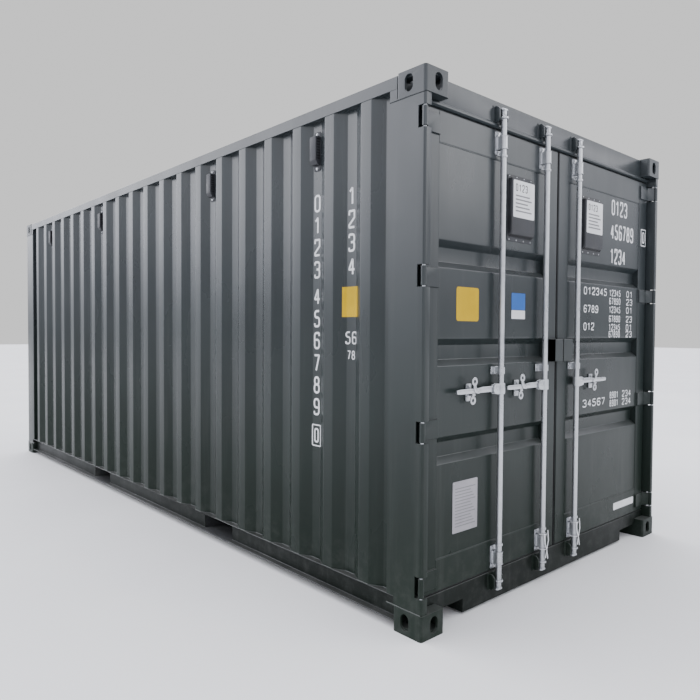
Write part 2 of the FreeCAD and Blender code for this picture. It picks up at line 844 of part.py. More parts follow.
def door_panel(side, name):
    """Pressed sheet with three level bands sunk into it, seen as an upright profile."""
    front = []
    back = []
    bend = "sheet * tan(atan(band_depth / band_slope) / 2)"
    for index in (2, 1, 0):
        high = "band_high - %d * band_pitch" % index
        low = high + " - band_height"
        front += [("panel_face", low), ("panel_face - band_depth", low + " + band_slope"),
                  ("panel_face - band_depth", high + " - band_slope"), ("panel_face", high)]
        back += [("panel_face - sheet", low + " - " + bend),
                 ("panel_face - sheet - band_depth", low + " + band_slope - " + bend),
                 ("panel_face - sheet - band_depth", high + " - band_slope + " + bend),
                 ("panel_face - sheet", high + " + " + bend)]
    corners = [("panel_face", "panel_low")] + front + [("panel_face", "panel_high")]
    corners += [("panel_face - sheet", "panel_high")] + back[::-1]
    corners += [("panel_face - sheet", "panel_low")]
    body, _, _ = extrusion(name + "Panel", "XZ_Plane", corners, "panel_outer - panel_inner")
    bind(body, "Placement.Base.y", span(side, "panel_inner", "panel_outer")[1])
    return body


def door_gasket(side, name):
    outer = box(name + "SealOuter", ("gasket_back", "door_back"),
                span(side, "door_meeting - gasket_lip_meeting", "door_edge + gasket_lip"),
                ("door_low - gasket_lip_low", "door_high + gasket_lip_low"))
    inner = box(name + "SealInner", ("gasket_back - 1", "door_back + 1"),
                span(side, "door_meeting + gasket_wide", "door_edge - gasket_wide"),
                ("door_low + gasket_wide", "door_high - gasket_wide"))
    return cut(name + "Seal", outer, inner)


def hinge_blades(side, name):
    """Cranked blades: flat on the door's face, turned out to a knuckle round each pin."""
    spots = [
        ("door_recess", "blade_end"),
        ("door_recess - blade_plate", "blade_end"),
        ("door_recess - blade_plate", "blade_bend + blade_plate / 3"),
        ("pin_depth - blade_plate / 3", "pin_inset + blade_plate / 3"),
        ("pin_depth + blade_plate / 3", "pin_inset - blade_plate / 3"),
        ("door_recess", "blade_bend - blade_plate / 4"),
    ]
    corners = []
    for depth, inset in spots:
        across = "half_width - (%s)" % inset
        corners.append(("half_length - (%s)" % depth, across if side > 0 else "-(%s)" % across))
    blades = []
    pin_y = span(side, "pin_y", "pin_y")[0]
    for index in range(4):
        low = "%s - blade_height / 2" % hinge_level(index)
        mark = "%sBlade%d" % (name, index)
        body, _, _ = extrusion(mark + "Strap", "XY_Plane", corners, "blade_height")
        bind(body, "Placement.Base.z", low)
        knuckle = cylinder(mark + "Knuckle", "knuckle_radius", "blade_height",
                           ("pin_x", pin_y, low))
        bore = cylinder(mark + "Bore", "pin_radius + pin_clearance", "blade_height + 2",
                        ("pin_x", pin_y, low + " - 1"))
        blades.append(cut(mark, fuse(mark + "Solid", [body, knuckle]), bore))
    return group(name + "Blades", blades)


def vent_hood(side, name):
    """Tall shallow hood with a slanted foot over the door's air holes, open along one edge."""
    across = span(side, "hood_inner", "hood_outer")
    corners = [
        ("panel_face", "hood_low"),
        ("panel_face + hood_proud", "hood_low + hood_slant"),
        ("panel_face + hood_proud", "hood_high"),
        ("panel_face", "hood_high"),
    ]
    body, _, _ = extrusion(name + "HoodBlock", "XZ_Plane", corners, "hood_outer - hood_inner")
    bind(body, "Placement.Base.y", across[1])
    hollow = box(name + "HoodHollow",
                 ("panel_face + hood_plate", "panel_face + hood_proud - hood_plate"),
                 ("(%s) - 1" % across[0], "(%s) - hood_plate" % across[1]),
                 ("hood_low + hood_slant + hood_plate", "hood_high - hood_plate"))
    return cut(name + "Hood", body, hollow)


def lock_box(side, name):
    """Half of the padlock box over the door joint; the left half is open at its outer end."""
    reach = "box_right" if side > 0 else "box_left"
    across = span(side, "box_gap", reach)
    outer = box(name + "BoxOuter", ("door_face", "door_face + box_proud"), across,
                ("box_low", "box_high"))
    inner_low = "(%s) - 1" % across[0]
    inner_high = "(%s) - box_plate" % across[1] if side > 0 else "(%s) + 1" % across[1]
    hollow = box(name + "BoxHollow", ("door_face - 1", "door_face + box_proud - box_plate"),
                 (inner_low, inner_high), ("box_low + box_plate", "box_high - box_plate"))
    return cut(name + "Box", outer, hollow)


# rods by name, with their places across the doors: the left door has two, the right door one
ROD_SPOTS = [("OuterLeft", "-outer_rod"), ("InnerLeft", "-inner_rod"), ("Right", "inner_rod")]


def rod_sleeve(name, spot, low, high):
    """A bearing bracket: plate on the door, web, and a flanged sleeve round the rod."""
    tall = (low, high)
    half = "bracket_width / 2"
    plate = box(name + "Plate", ("door_face", "bracket_face"),
                ("(%s) - %s" % (spot, half), "(%s) + %s" % (spot, half)), tall)
    web = box(name + "Web", ("bracket_face", "rod_x"),
              ("(%s) - bracket_plate * 2" % spot, "(%s) + bracket_plate * 2" % spot), tall)
    length = "(%s) - (%s)" % (high, low)
    sleeve = cylinder(name + "Tube", "sleeve_radius", length, ("rod_x", spot, low))
    rings = []
    for mark, level in (("Foot", low), ("Head", "(%s) - 2 * bracket_plate" % high)):
        rings.append(cylinder(name + mark, "sleeve_flange", "2 * bracket_plate",
                              ("rod_x", spot, level)))
    bore = cylinder(name + "Bore", "rod_radius + rod_clearance", "(%s) + 2" % length,
                    ("rod_x", spot, "(%s) - 1" % low))
    return cut(name, fuse(name + "Solid", [plate, web, sleeve] + rings), bore)


def rod_brackets(name, spots):
    """Upper and lower bearings and the small guide above the handle, for each rod of a door."""
    pieces = []
    for rod, spot in spots:
        top = "door_high - bracket_inset + bracket_plate"
        foot = "door_low + bracket_inset - bracket_plate"
        pieces.append(rod_sleeve(rod + "TopBearing", spot, top + " - bracket_height", top))
        pieces.append(rod_sleeve(rod + "LowBearing", spot, foot, foot + " + bracket_height"))
        pieces.append(rod_sleeve(rod + "Guide", spot, "guide_height - guide_tall / 2",
                                 "guide_height + guide_tall / 2"))
    return group(name + "Brackets", pieces)


def handle_catches(name, spots):
    """Catches on the door: a foot plate, an arm under the handle and a hanging padlock eye."""
    pieces = []
    for rod, spot in spots:
        way = 1 if rod == "Right" else -1
        middle = "(%s) + %d * catch_reach" % (spot, way)
        arm_top = "handle_low - handle_slack"
        arm_low = "handle_low - 12"
        foot = box(rod + "CatchFoot", ("door_face", "bracket_face"),
                   (middle + " - 22", middle + " + 22"),
                   ("handle_height - 52", "handle_height + 34"))
        arm = box(rod + "CatchArm", ("bracket_face", "rod_x + handle_thick / 2"),
                  (middle + " - 12", middle + " + 12"), (arm_low, arm_top))
        eye_z = "handle_height - eye_drop"
        start = "rod_x - handle_thick / 2"
        eye = cylinder(rod + "EyeDisc", "eye_radius", "eye_plate", (start, middle, eye_z), "X")
        hole = cylinder(rod + "EyeHole", "eye_hole", "eye_plate + 2",
                        (start + " - 1", middle, eye_z), "X")
        neck = box(rod + "EyeNeck", (start, start + " + eye_plate"),
                   (middle + " - 10", middle + " + 10"),
                   ("handle_height - eye_drop + eye_hole + 2", arm_top))
        pieces.append(cut(rod + "Catch", fuse(rod + "CatchSolid", [foot, arm, eye, neck]), hole))
    return group(name + "Catches", pieces)


def doors():
    for side, word, name in ((-1, "left", "Left"), (1, "right", "Right")):
        spots = [spot for spot in ROD_SPOTS if spot[0].endswith(name)]
        subpart(word + "_door_frame", door_frame(side, name))
        subpart(word + "_door_panel", door_panel(side, name))
        subpart(word + "_door_gasket", door_gasket(side, name))
        subpart(word + "_door_hinges", hinge_blades(side, name))
        subpart(word + "_door_vent", vent_hood(side, name))
        subpart(word + "_lock_box", lock_box(side, name))
        subpart(word + "_rod_brackets", rod_brackets(name, spots))
        subpart(word + "_handle_catches", handle_catches(name, spots))


# ---------------------------------------------------------------- lock rods and handles

def cam(name, spot, way, tip):
    """A forged lock cam on a rod's end: stem, collar, nose towards the frame and winged head."""
    def levels(near, far):
        low, high = ("(%s) - %s" % (tip, near), "(%s) - %s" % (tip, far))
        if way < 0:
            low, high = ("(%s) + %s" % (tip, far), "(%s) + %s" % (tip, near))
        return (low, high)
    nose_z = levels("cam_tall * 0.7", "cam_tall * 0.15")
    nose = box(name + "Nose", ("rod_x - cam_nose", "rod_x"),
               ("(%s) - cam_half" % spot, "(%s) + cam_half" % spot), nose_z)
    wing_z = levels("cam_tall * 0.2", "0")
    wing = box(name + "Wing", ("rod_x - cam_wing_half", "rod_x + cam_wing_half"),
               ("(%s) - cam_wing" % spot, "(%s) + cam_wing" % spot), wing_z)
    collar_z = levels("cam_tall", "cam_tall * 0.8")
    collar = cylinder(name + "Collar", "sleeve_flange", "cam_tall * 0.2",
                      ("rod_x", spot, collar_z[0]))
    stem = cylinder(name + "Stem", "rod_radius", "cam_tall", ("rod_x", spot, levels("cam_tall", "0")[0]))
    return fuse(name, [nose, wing, collar, stem])


def lock_rod(name, spot):
    """The tube between both cams."""
    start = "rod_low + cam_tall"
    length = "rod_high - rod_low - 2 * cam_tall"
    tube = cylinder(name + "Rod", "rod_radius", length, ("rod_x", spot, start))
    bore = cylinder(name + "RodBore", "rod_radius - rod_wall", "(%s) + 2" % length,
                    ("rod_x", spot, "(%s) - 1" % start))
    return cut(name + "LockRod", tube, bore)


def rod_cams(name, spot):
    cams = [cam(name + "TopCam", spot, 1, "rod_high"), cam(name + "LowCam", spot, -1, "rod_low")]
    return group(name + "RodCams", cams)


def handle_hub(name, spot):
    """The forked hub that clasps the tube, with the handle's pivot pin."""
    way = 1 if name == "Right" else -1
    reach = ("(%s) + %d * hub_reach" % (spot, way), spot)
    across = reach if way < 0 else reach[::-1]
    hub = box(name + "Hub", ("rod_x - hub_half", "rod_x + hub_half"), across,
              ("handle_height - hub_tall / 2", "handle_height + hub_tall / 2"))
    seat = cylinder(name + "HubSeat", "rod_radius + pin_clearance", "hub_tall + 2",
                    ("rod_x", spot, "handle_height - hub_tall / 2 - 1"))
    gap_edge = "rod_radius + hub_root"
    gap = ("(%s) + %d * (hub_reach + 1)" % (spot, way), "(%s) + %d * (%s)" % (spot, way, gap_edge))
    gap = gap if way < 0 else gap[::-1]
    half = "handle_thick / 2 + handle_slack"
    fork = box(name + "Fork", ("rod_x - (%s)" % half, "rod_x + (%s)" % half), gap,
               ("handle_height - hub_tall", "handle_height + hub_tall"))
    solid = cut(name + "Forked", hub, fuse(name + "HubCuts", [fork, seat]))
    pivot = cylinder(name + "Pivot", "pivot_radius", "2 * hub_half",
                     ("rod_x - hub_half", "(%s) + %d * pivot_reach" % (spot, way),
                      "handle_height"), "X")
    return fuse(name + "HandleHub", [solid, pivot])


def handle(name, spot):
    """A flat bar on the hub's pin, with a padlock eye and its strap over the catch."""
    way = 1 if name == "Right" else -1
    half = "handle_thick / 2"
    pivot_y = "(%s) + %d * pivot_reach" % (spot, way)
    tip_y = "(%s) + %d * handle_reach" % (spot, way)
    middle = "(%s) + %d * catch_reach" % (spot, way)
    thick = ("rod_x - %s" % half, "rod_x + %s" % half)

    def across(first, second):
        return (second, first) if way < 0 else (first, second)

    bar = box(name + "Bar", thick, across(pivot_y, tip_y),
              ("handle_low", "handle_low + handle_tall"))
    root = box(name + "Root", thick, across(pivot_y, "(%s) + %d * 125" % (pivot_y, way)),
               ("handle_low", "handle_low + handle_tall + 5"))
    end = cylinder(name + "BarEnd", "handle_tall / 2 + 3", "handle_thick",
                   (thick[0], pivot_y, "handle_height"), "X")
    front = thick[1]
    eye_z = "handle_height + eye_drop"
    eye = cylinder(name + "HaspEye", "eye_radius", "eye_plate", (front, middle, eye_z), "X")
    strap = box(name + "HaspStrap", (front, front + " + eye_plate"),
                (middle + " - 10", middle + " + 10"),
                ("handle_low", "handle_height + eye_drop - eye_hole - 2"))
    hole = cylinder(name + "HaspHole", "eye_hole", "eye_plate + 2",
                    (front + " - 1", middle, eye_z), "X")
    bore = cylinder(name + "PivotBore", "pivot_radius + pin_clearance", "handle_thick + 2",
                    (thick[0] + " - 1", pivot_y, "handle_height"), "X")
    return cut(name + "Handle", fuse(name + "HandleSolid", [bar, root, end, eye, strap]),
               fuse(name + "HandleCuts", [hole, bore]))


ROD_WORDS = {"OuterLeft": "outer_left", "InnerLeft": "inner_left", "Right": "right"}


def rods_and_handles():
    for name, spot in ROD_SPOTS:
        subpart(ROD_WORDS[name] + "_lock_rod", lock_rod(name, spot))
        subpart(ROD_WORDS[name] + "_rod_cams", rod_cams(name, spot))
        subpart(ROD_WORDS[name] + "_handle_hub", handle_hub(name, spot))
        subpart(ROD_WORDS[name] + "_handle", handle(name, spot))


# ---------------------------------------------------------------- side wall air vents

def side_vents():
    """Small boxes in the hollows of the side walls near the roof, each on two screw tabs."""
    hollow_x = "-(half_length - post_flange - skin_inset) + wall_flat + (%s) * wall_pitch"
    face = "wall_side - wall_depth"
    low = "vent_high - vent_height"
    vents = []
    for index, fold in enumerate(("2", "7", "wall_folds - 6", "wall_folds - 2")):
        middle = hollow_x % fold
        across = (middle + " - vent_wide / 2", middle + " + vent_wide / 2")
        body = box("VentBody%d" % index, across, (face, face + " + vent_proud"),
                   (low + " + (vent_height - vent_box) / 2",
                    "vent_high - (vent_height - vent_box) / 2"))
        tab = box("VentTab%d" % index, across, (face, face + " + 2 * sheet"),
                  (low, "vent_high"))
        vents.append(fuse("Vent%d" % index, [body, tab]))
    subpart("side_vents", sides_mirrored("SideVents", group("RightVents", vents)))


def main():
    castings()
    rear_posts()
    hinge_pins()
    front_posts()
    bottom_side_rails()
    top_rails()
    front_bottom_rail()
    door_header()
    door_sill()
    cam_keepers()
    side_walls()
    front_wall()
    roof()
    floor()
    doors()
    rods_and_handles()
    side_vents()
    doc.recompute()
    for item in doc.Objects:
        if "Invalid" in item.State or "Error" in item.State:
            raise RuntimeError("%s did not recompute: %s" % (item.Name, item.State))
    for node, item in SUBPARTS:
        if item.Shape.isNull() or not item.Shape.isValid():
            raise RuntimeError("%s has no valid shape" % node)
    os.makedirs("parts", exist_ok=True)
    for node, item in SUBPARTS:
        item.Shape.exportStep("parts/%s.step" % node)
        print("%-24s %2d solids %12.0f mm3" % (node, len(item.Shape.Solids), item.Shape.Volume))


main()
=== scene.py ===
import json
import math

import bmesh
import bpy
import numpy as np
from mathutils import Matrix, Vector

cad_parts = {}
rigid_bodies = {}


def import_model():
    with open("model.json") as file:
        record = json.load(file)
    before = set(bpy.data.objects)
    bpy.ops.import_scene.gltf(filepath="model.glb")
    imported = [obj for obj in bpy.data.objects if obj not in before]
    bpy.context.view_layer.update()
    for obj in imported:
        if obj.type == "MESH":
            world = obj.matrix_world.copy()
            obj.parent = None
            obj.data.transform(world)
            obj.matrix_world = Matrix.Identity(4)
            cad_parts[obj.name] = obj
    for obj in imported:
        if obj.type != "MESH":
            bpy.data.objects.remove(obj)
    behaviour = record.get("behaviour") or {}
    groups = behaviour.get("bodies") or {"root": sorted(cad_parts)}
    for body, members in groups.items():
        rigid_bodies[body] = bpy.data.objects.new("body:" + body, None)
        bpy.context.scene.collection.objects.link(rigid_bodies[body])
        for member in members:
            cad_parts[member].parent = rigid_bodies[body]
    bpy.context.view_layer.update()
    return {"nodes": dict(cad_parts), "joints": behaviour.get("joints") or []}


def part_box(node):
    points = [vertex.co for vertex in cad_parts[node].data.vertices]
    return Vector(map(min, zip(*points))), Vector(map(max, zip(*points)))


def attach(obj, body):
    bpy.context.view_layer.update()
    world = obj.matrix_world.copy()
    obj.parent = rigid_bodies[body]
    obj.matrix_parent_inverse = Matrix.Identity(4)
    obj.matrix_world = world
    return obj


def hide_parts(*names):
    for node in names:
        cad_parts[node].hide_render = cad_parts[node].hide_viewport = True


# Finishes a packed 20 ft steel container: every surface, fastening and marking, with a stage to show it on.
# Metres, +Z up.  The length runs along X with the door end at +X; the left door is on the -Y side.

bl_info = {
    "name": "Container Finisher",
    "version": (1, 0, 0),
    "blender": (4, 5, 0),
    "location": "View3D > Sidebar > Container",
    "description": "Builds the finished look of a steel container around its packed frame",
    "category": "Add Mesh",
}

for leftover in list(bpy.data.objects):
    bpy.data.objects.remove(leftover)
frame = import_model()

MM = 0.001
SOLID_GAP = 0.16
WALL_INSET = 0.006
FILM = 0.35 * MM
FILM_GAP = 0.1 * MM
CATCH_REACH = 0.228
EYE_DROP = 0.047
BEARING = 0.118
GUIDE_HEIGHT = 1.210
COLLAR_HEIGHTS = (0.302, 2.295)
SIDES = (("right", 1), ("left", -1))
RODS = (("outer_left", "left", -1), ("inner_left", "left", -1), ("right", "right", 1))


# Places read from the frame


def low(node):
    return np.array(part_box(node)[0])


def high(node):
    return np.array(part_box(node)[1])


def corners(node):
    """The lowest and the highest corner of a node's box."""
    return low(node), high(node)


def joint_place(name):
    """The point that a joint turns about."""
    joint = next(j for j in frame["joints"] if j["name"] == name)
    return np.array(joint["pos_m"], float)


def spans(node, axis):
    """The stretches that a node's solids fill along an axis, told apart by the gaps between them."""
    mesh = frame["nodes"][node].data
    points = np.empty(len(mesh.vertices) * 3, np.float32)
    mesh.vertices.foreach_get("co", points)
    places = np.unique(points.reshape(-1, 3)[:, axis].astype(float))
    starts = np.flatnonzero(np.diff(places) > SOLID_GAP) + 1
    return [(part[0], part[-1]) for part in np.split(places, starts)]


DOOR_FACE = high("left_door_frame")[0]
PANEL_FACE = high("left_door_panel")[0]
SKIN_SIDE = high("rear_posts")[1]
RAIL_TOP = high("bottom_side_rails")[2]
WALL_TOP = high("right_side_wall")[2]


# Sizes and colours to set


class SheetSizes(bpy.types.PropertyGroup):
    """Bends of the pressed sheets."""

    wall_pitch: bpy.props.FloatProperty(
        name="Wall Pitch", description="From one fold of a side wall to the next",
        default=0.278, unit="LENGTH")
    wall_crest: bpy.props.FloatProperty(
        name="Wall Crest", description="Flat outer face of a side wall fold", default=0.072, unit="LENGTH")
    wall_slope: bpy.props.FloatProperty(
        name="Wall Slope", description="Run of a side wall's slanted face", default=0.068, unit="LENGTH")
    front_pitch: bpy.props.FloatProperty(
        name="Front Pitch", description="From one fold of the front wall to the next",
        default=0.250, unit="LENGTH")
    front_crest: bpy.props.FloatProperty(
        name="Front Crest", description="Flat outer face of a front wall fold", default=0.110, unit="LENGTH")
    front_slope: bpy.props.FloatProperty(
        name="Front Slope", description="Run of a front wall's slanted face", default=0.018, unit="LENGTH")
    roof_pitch: bpy.props.FloatProperty(
        name="Roof Pitch", description="From one fold of the roof to the next", default=0.209, unit="LENGTH")
    roof_crest: bpy.props.FloatProperty(
        name="Roof Crest", description="Flat top of a roof fold", default=0.091, unit="LENGTH")
    roof_slope: bpy.props.FloatProperty(
        name="Roof Slope", description="Run of a roof fold's slanted face", default=0.013, unit="LENGTH")
    roof_ramp: bpy.props.FloatProperty(
        name="Roof Ramp", description="Run in which a roof fold fades out beside the top rail",
        default=0.045, unit="LENGTH")
    sheet: bpy.props.FloatProperty(
        name="Sheet", description="Thickness of the pressed sheets", default=0.002, unit="LENGTH")
    bend: bpy.props.FloatProperty(
        name="Bend Radius", description="Outer radius of the pressed bends", default=0.012, unit="LENGTH")
    waviness: bpy.props.FloatProperty(
        name="Waviness", description="How far the large sheets bulge in and out",
        default=0.0008, unit="LENGTH")


class DoorSizes(bpy.types.PropertyGroup):
    """Pressed bands and seals of the doors."""

    band_drop: bpy.props.FloatProperty(
        name="Band Drop", description="From the panel's top to the first band", default=0.448, unit="LENGTH")
    band_pitch: bpy.props.FloatProperty(
        name="Band Pitch", description="From one band to the next", default=0.468, unit="LENGTH")
    band_height: bpy.props.FloatProperty(
        name="Band Height", description="Height of a pressed band", default=0.130, unit="LENGTH")
    band_slope: bpy.props.FloatProperty(
        name="Band Slope", description="Height of a band's slanted edge", default=0.030, unit="LENGTH")
    lip: bpy.props.FloatProperty(
        name="Seal Lip", description="Thickness of a rubber lip", default=0.003, unit="LENGTH")


class HardwareSizes(bpy.types.PropertyGroup):
    """Fastenings and small steel."""

    rod: bpy.props.FloatProperty(
        name="Rod", description="Radius of a lock rod's tube", default=0.015, unit="LENGTH")
    edge: bpy.props.FloatProperty(
        name="Edge", description="Rounding of flame-cut and folded steel edges",
        default=0.0025, unit="LENGTH")
    weld: bpy.props.FloatProperty(
        name="Weld", description="Radius of a weld bead", default=0.0035, unit="LENGTH")


class FinishColours(bpy.types.PropertyGroup):
    """Colours of the finishes."""

    paint: bpy.props.FloatVectorProperty(
        name="Paint", description="Top coat", subtype="COLOR", size=3, default=(0.022, 0.028, 0.031))
    # Painted shade: a darker coat colour blended in towards the ground so that the lower parts read as shaded.
    paint_shaded_low: bpy.props.FloatVectorProperty(
        name="Low Paint", description="Top coat near the ground, dulled by splashes", subtype="COLOR", size=3,
        default=(0.013, 0.020, 0.015))
    dust: bpy.props.FloatVectorProperty(
        name="Dust", description="Dry dust on ledges", subtype="COLOR", size=3, default=(0.17, 0.172, 0.165))
    zinc: bpy.props.FloatVectorProperty(
        name="Zinc", description="Hot-dip galvanised steel",
        subtype="COLOR", size=3, default=(0.50, 0.515, 0.535))
    rubber: bpy.props.FloatVectorProperty(
        name="Rubber", description="Door seal", subtype="COLOR", size=3, default=(0.012, 0.012, 0.013))
    marking: bpy.props.FloatVectorProperty(
        name="Marking", description="White vinyl of digits and patches", subtype="COLOR", size=3,
        default=(0.72, 0.73, 0.74))
    yellow: bpy.props.FloatVectorProperty(
        name="Yellow", description="Yellow vinyl", subtype="COLOR", size=3, default=(0.52, 0.33, 0.0))
    blue: bpy.props.FloatVectorProperty(
        name="Blue", description="Blue vinyl", subtype="COLOR", size=3, default=(0.025, 0.115, 0.40))
    ply: bpy.props.FloatVectorProperty(
        name="Plywood", description="Oiled floor plywood",
        subtype="COLOR", size=3, default=(0.30, 0.165, 0.085))


class StageSettings(bpy.types.PropertyGroup):
    """Camera, floor and lights."""

    camera_place: bpy.props.FloatVectorProperty(
        name="Camera Place", description="Where the camera stands", subtype="TRANSLATION", size=3,
        default=(4.925, -3.361, 1.407))
    camera_yaw: bpy.props.FloatProperty(
        name="Camera Yaw", description="Turn of the camera about the vertical", subtype="ANGLE",
        default=math.radians(48.27))
    camera_pitch: bpy.props.FloatProperty(
        name="Camera Pitch", description="Camera's tilt above the horizon", subtype="ANGLE",
        default=math.radians(-1.58))
    camera_roll: bpy.props.FloatProperty(
        name="Camera Roll", description="Camera's roll", subtype="ANGLE", default=math.radians(-0.33))
    camera_lens: bpy.props.FloatProperty(
        name="Camera Lens", description="Focal length on a 36 mm sensor, in millimetres", default=32.84)
    floor_reach: bpy.props.FloatProperty(
        name="Floor Reach", description="Half the width of the floor", default=60.0, unit="LENGTH")
    sky_strength: bpy.props.FloatProperty(
        name="Sky Strength", description="Brightness of the soft light from all round", default=3.0)
    top_power: bpy.props.FloatProperty(
        name="Top Light", description="Power of the large light above", default=200.0, unit="POWER")
    door_power: bpy.props.FloatProperty(
        name="Door Light", description="Power of the light in front of the doors",
        default=170.0, unit="POWER")
    side_power: bpy.props.FloatProperty(
        name="Side Light", description="Power of the light along the left side", default=40.0, unit="POWER")


SETTINGS = {
    "container_sheet": SheetSizes,
    "container_door": DoorSizes,
    "container_hardware": HardwareSizes,
    "container_colours": FinishColours,
    "container_stage": StageSettings,
}


# Surfaces worked out as arrays


def unit(vectors):
    """Each vector divided by its own length."""
    vectors = np.asarray(vectors, float)
    return vectors / np.maximum(np.linalg.norm(vectors, axis=-1, keepdims=True), 1e-12)


def arc(centre, radius, start, end, steps):
    """Points centre + radius (cos a, sin a) for angles a spread evenly from start to end, in degrees."""
    a = np.radians(np.linspace(start, end, steps))
    return np.stack([centre[0] + radius * np.cos(a), centre[1] + radius * np.sin(a)], -1)


def rounded(points, radius, steps=5, closed=False):
    """A path whose corners are arcs of a radius: each arc starts t = radius tan(turn / 2) before its corner,
    or 0.49 of the shorter run if that is less, and sweeps the turn about the centre between both ends."""
    points = np.asarray(points, float)
    inner = points if closed else points[1:-1]
    before = np.roll(points, 1, 0) if closed else points[:-2]
    after = np.roll(points, -1, 0) if closed else points[2:]
    a, b = unit(before - inner), unit(after - inner)
    turn = np.pi - np.arccos(np.clip((a * b).sum(-1), -1, 1))
    room = 0.49 * np.minimum(np.linalg.norm(before - inner, axis=-1), np.linalg.norm(after - inner, axis=-1))
    t = np.minimum(radius * np.tan(turn / 2), room)[:, None]
    start, end = inner + a * t, inner + b * t
    reach = t / np.maximum(np.cos(np.pi / 2 - turn / 2), 1e-9)[:, None]
    centre = inner + unit(a + b) * reach
    share = np.linspace(0, 1, steps)[None, :, None]
    angle = np.maximum(turn, 1e-6)[:, None, None]
    swept = (np.sin((1 - share) * angle) * (start - centre)[:, None]
             + np.sin(share * angle) * (end - centre)[:, None]) / np.sin(angle)
    corners = (centre[:, None] + swept).reshape(-1, points.shape[1])
    return corners if closed else np.concatenate([points[:1], corners, points[-1:]])


def rectangle(width, height, radius=0.0, steps=4):
    """A centred rectangle's outline, anticlockwise, with round corners."""
    corners = np.array([[-1, -1], [1, -1], [1, 1], [-1, 1]]) * [width / 2, height / 2]
    return rounded(corners, radius, steps, closed=True) if radius else corners


def grid(points, wrap=False, wrap_rows=False):
    """Quads between the neighbours of a grid of points P[i, j]; wrapped, the last column or row joins the
    first."""
    rows, cols = points.shape[:2]
    i, j = np.meshgrid(np.arange(rows if wrap_rows else rows - 1), np.arange(cols if wrap else cols - 1),
                       indexing="ij")
    below, right = (i + 1) % rows, (j + 1) % cols
    quads = np.stack([i * cols + j, i * cols + right, below * cols + right, below * cols + j], -1)
    return points.reshape(-1, 3), [quads.reshape(-1, 4)]


def layered(rings):
    """A closed solid through a stack of rings R[i, j] of equal point count: walls between the rings, and the
    first and last ring filled."""
    points, faces = grid(rings, wrap=True)
    count = rings.shape[1]
    ends = [np.arange(count)[::-1][None], np.arange(len(points) - count, len(points))[None]]
    return points, faces + ends


def inset(outline, distance):
    """A closed outline moved inwards: each corner goes along its bisector by distance over the cosine of half
    its turn."""
    along = unit(np.roll(outline, -1, 0) - outline)
    back = np.roll(along, 1, 0)
    normal = np.stack([-along[:, 1], along[:, 0]], -1)
    normal_back = np.stack([-back[:, 1], back[:, 0]], -1)
    middle = unit(normal + normal_back)
    return outline + middle * distance / np.maximum((middle * normal).sum(-1), 0.35)[:, None]


def stack(outline, levels):
    """A closed solid over an outline: at each (distance, height) the outline is inset by the distance."""
    rings = [np.column_stack([inset(outline, d), np.full(len(outline), h)]) for d, h in levels]
    return layered(np.array(rings))


def plate(outline, thickness, edge=0.0, steps=3):
    """A plate on z = 0 to thickness with rounded edges: rings of the outline inset by edge (1 - sin a) at the
    heights edge (1 - cos a) and thickness less that, for a from 0 to 90 degrees."""
    edge = min(edge, 0.49 * thickness)
    a = np.linspace(0, np.pi / 2, steps) if edge > 0 else np.zeros(1)
    lower = list(zip(edge * (1 - np.sin(a)), edge * (1 - np.cos(a))))
    return stack(outline, lower + [(d, thickness - h) for d, h in reversed(lower)])


def ring(profile, steps=28):
    """A closed (radius, height) profile carried round a full turn about z, such as an eye or a washer."""
    profile = np.asarray(profile, float)
    a = np.linspace(0, 2 * np.pi, steps, endpoint=False)
    rings = np.stack([profile[:, :1] * np.cos(a), profile[:, :1] * np.sin(a),
                      np.repeat(profile[:, 1:], steps, 1)], -1)
    return grid(rings, wrap=True, wrap_rows=True)


def lathe(profile, steps=24):
    """A solid of revolution about z: each (radius, height) of the profile carried round a full turn. A
    profile that starts or ends at radius 0 closes in a pole, and any other end is filled."""
    profile = np.asarray(profile, float)
    inner = profile[profile[:, 0] > 1e-9]
    a = np.linspace(0, 2 * np.pi, steps, endpoint=False)
    rings = np.stack([inner[:, :1] * np.cos(a), inner[:, :1] * np.sin(a),
                      np.repeat(inner[:, 1:], steps, 1)], -1)
    points, faces = grid(rings, wrap=True)
    around = np.arange(steps)
    nexts = (around + 1) % steps
    for index, first, flip in ((0, 0, True), (-1, len(points) - steps, False)):
        if profile[index, 0] > 1e-9:
            faces.append((around[::-1] if flip else around)[None] + first)
            continue
        pole = len(points)
        points = np.vstack([points, [[0, 0, profile[index, 1]]]])
        pair = (nexts, around) if flip else (around, nexts)
        faces.append(np.stack([pair[0] + first, pair[1] + first, np.full(steps, pole)], -1))
    return points, faces


def carry(profile, path, up, closed=False, swell=None):
    """A closed profile (across, above) carried along a path with mitred corners. At each point the tangent
    is the bisector of both runs, across = tangent x up, and offsets along the turn grow by 1 / cos(turn /
    2). Swell scales the profile at each point of the path."""
    path = np.asarray(path, float)
    runs = unit(np.diff(np.concatenate([path, path[:1]]) if closed else path, axis=0))
    before = np.concatenate([runs[-1:] if closed else runs[:1], runs if not closed else runs[:-1]])
    after = runs if closed else np.concatenate([runs, runs[-1:]])
    tangent = unit(before + after)
    across = unit(np.cross(tangent, np.broadcast_to(up, tangent.shape)))
    above = np.cross(across, tangent)
    bend = after - before
    turning = unit(bend)
    stretch = 1 / np.maximum((tangent * before).sum(-1), 0.3) - 1
    sized = np.ones(len(path)) if swell is None else np.asarray(swell)
    offsets = (profile[None, :, :1] * across[:, None] + profile[None, :, 1:] * above[:, None])
    offsets = offsets * sized[:, None, None]
    along = (offsets * turning[:, None]).sum(-1, keepdims=True)
    rings = path[:, None] + offsets + along * stretch[:, None, None] * turning[:, None]
    if not closed:
        return layered(rings)
    return grid(rings, wrap=True, wrap_rows=True)


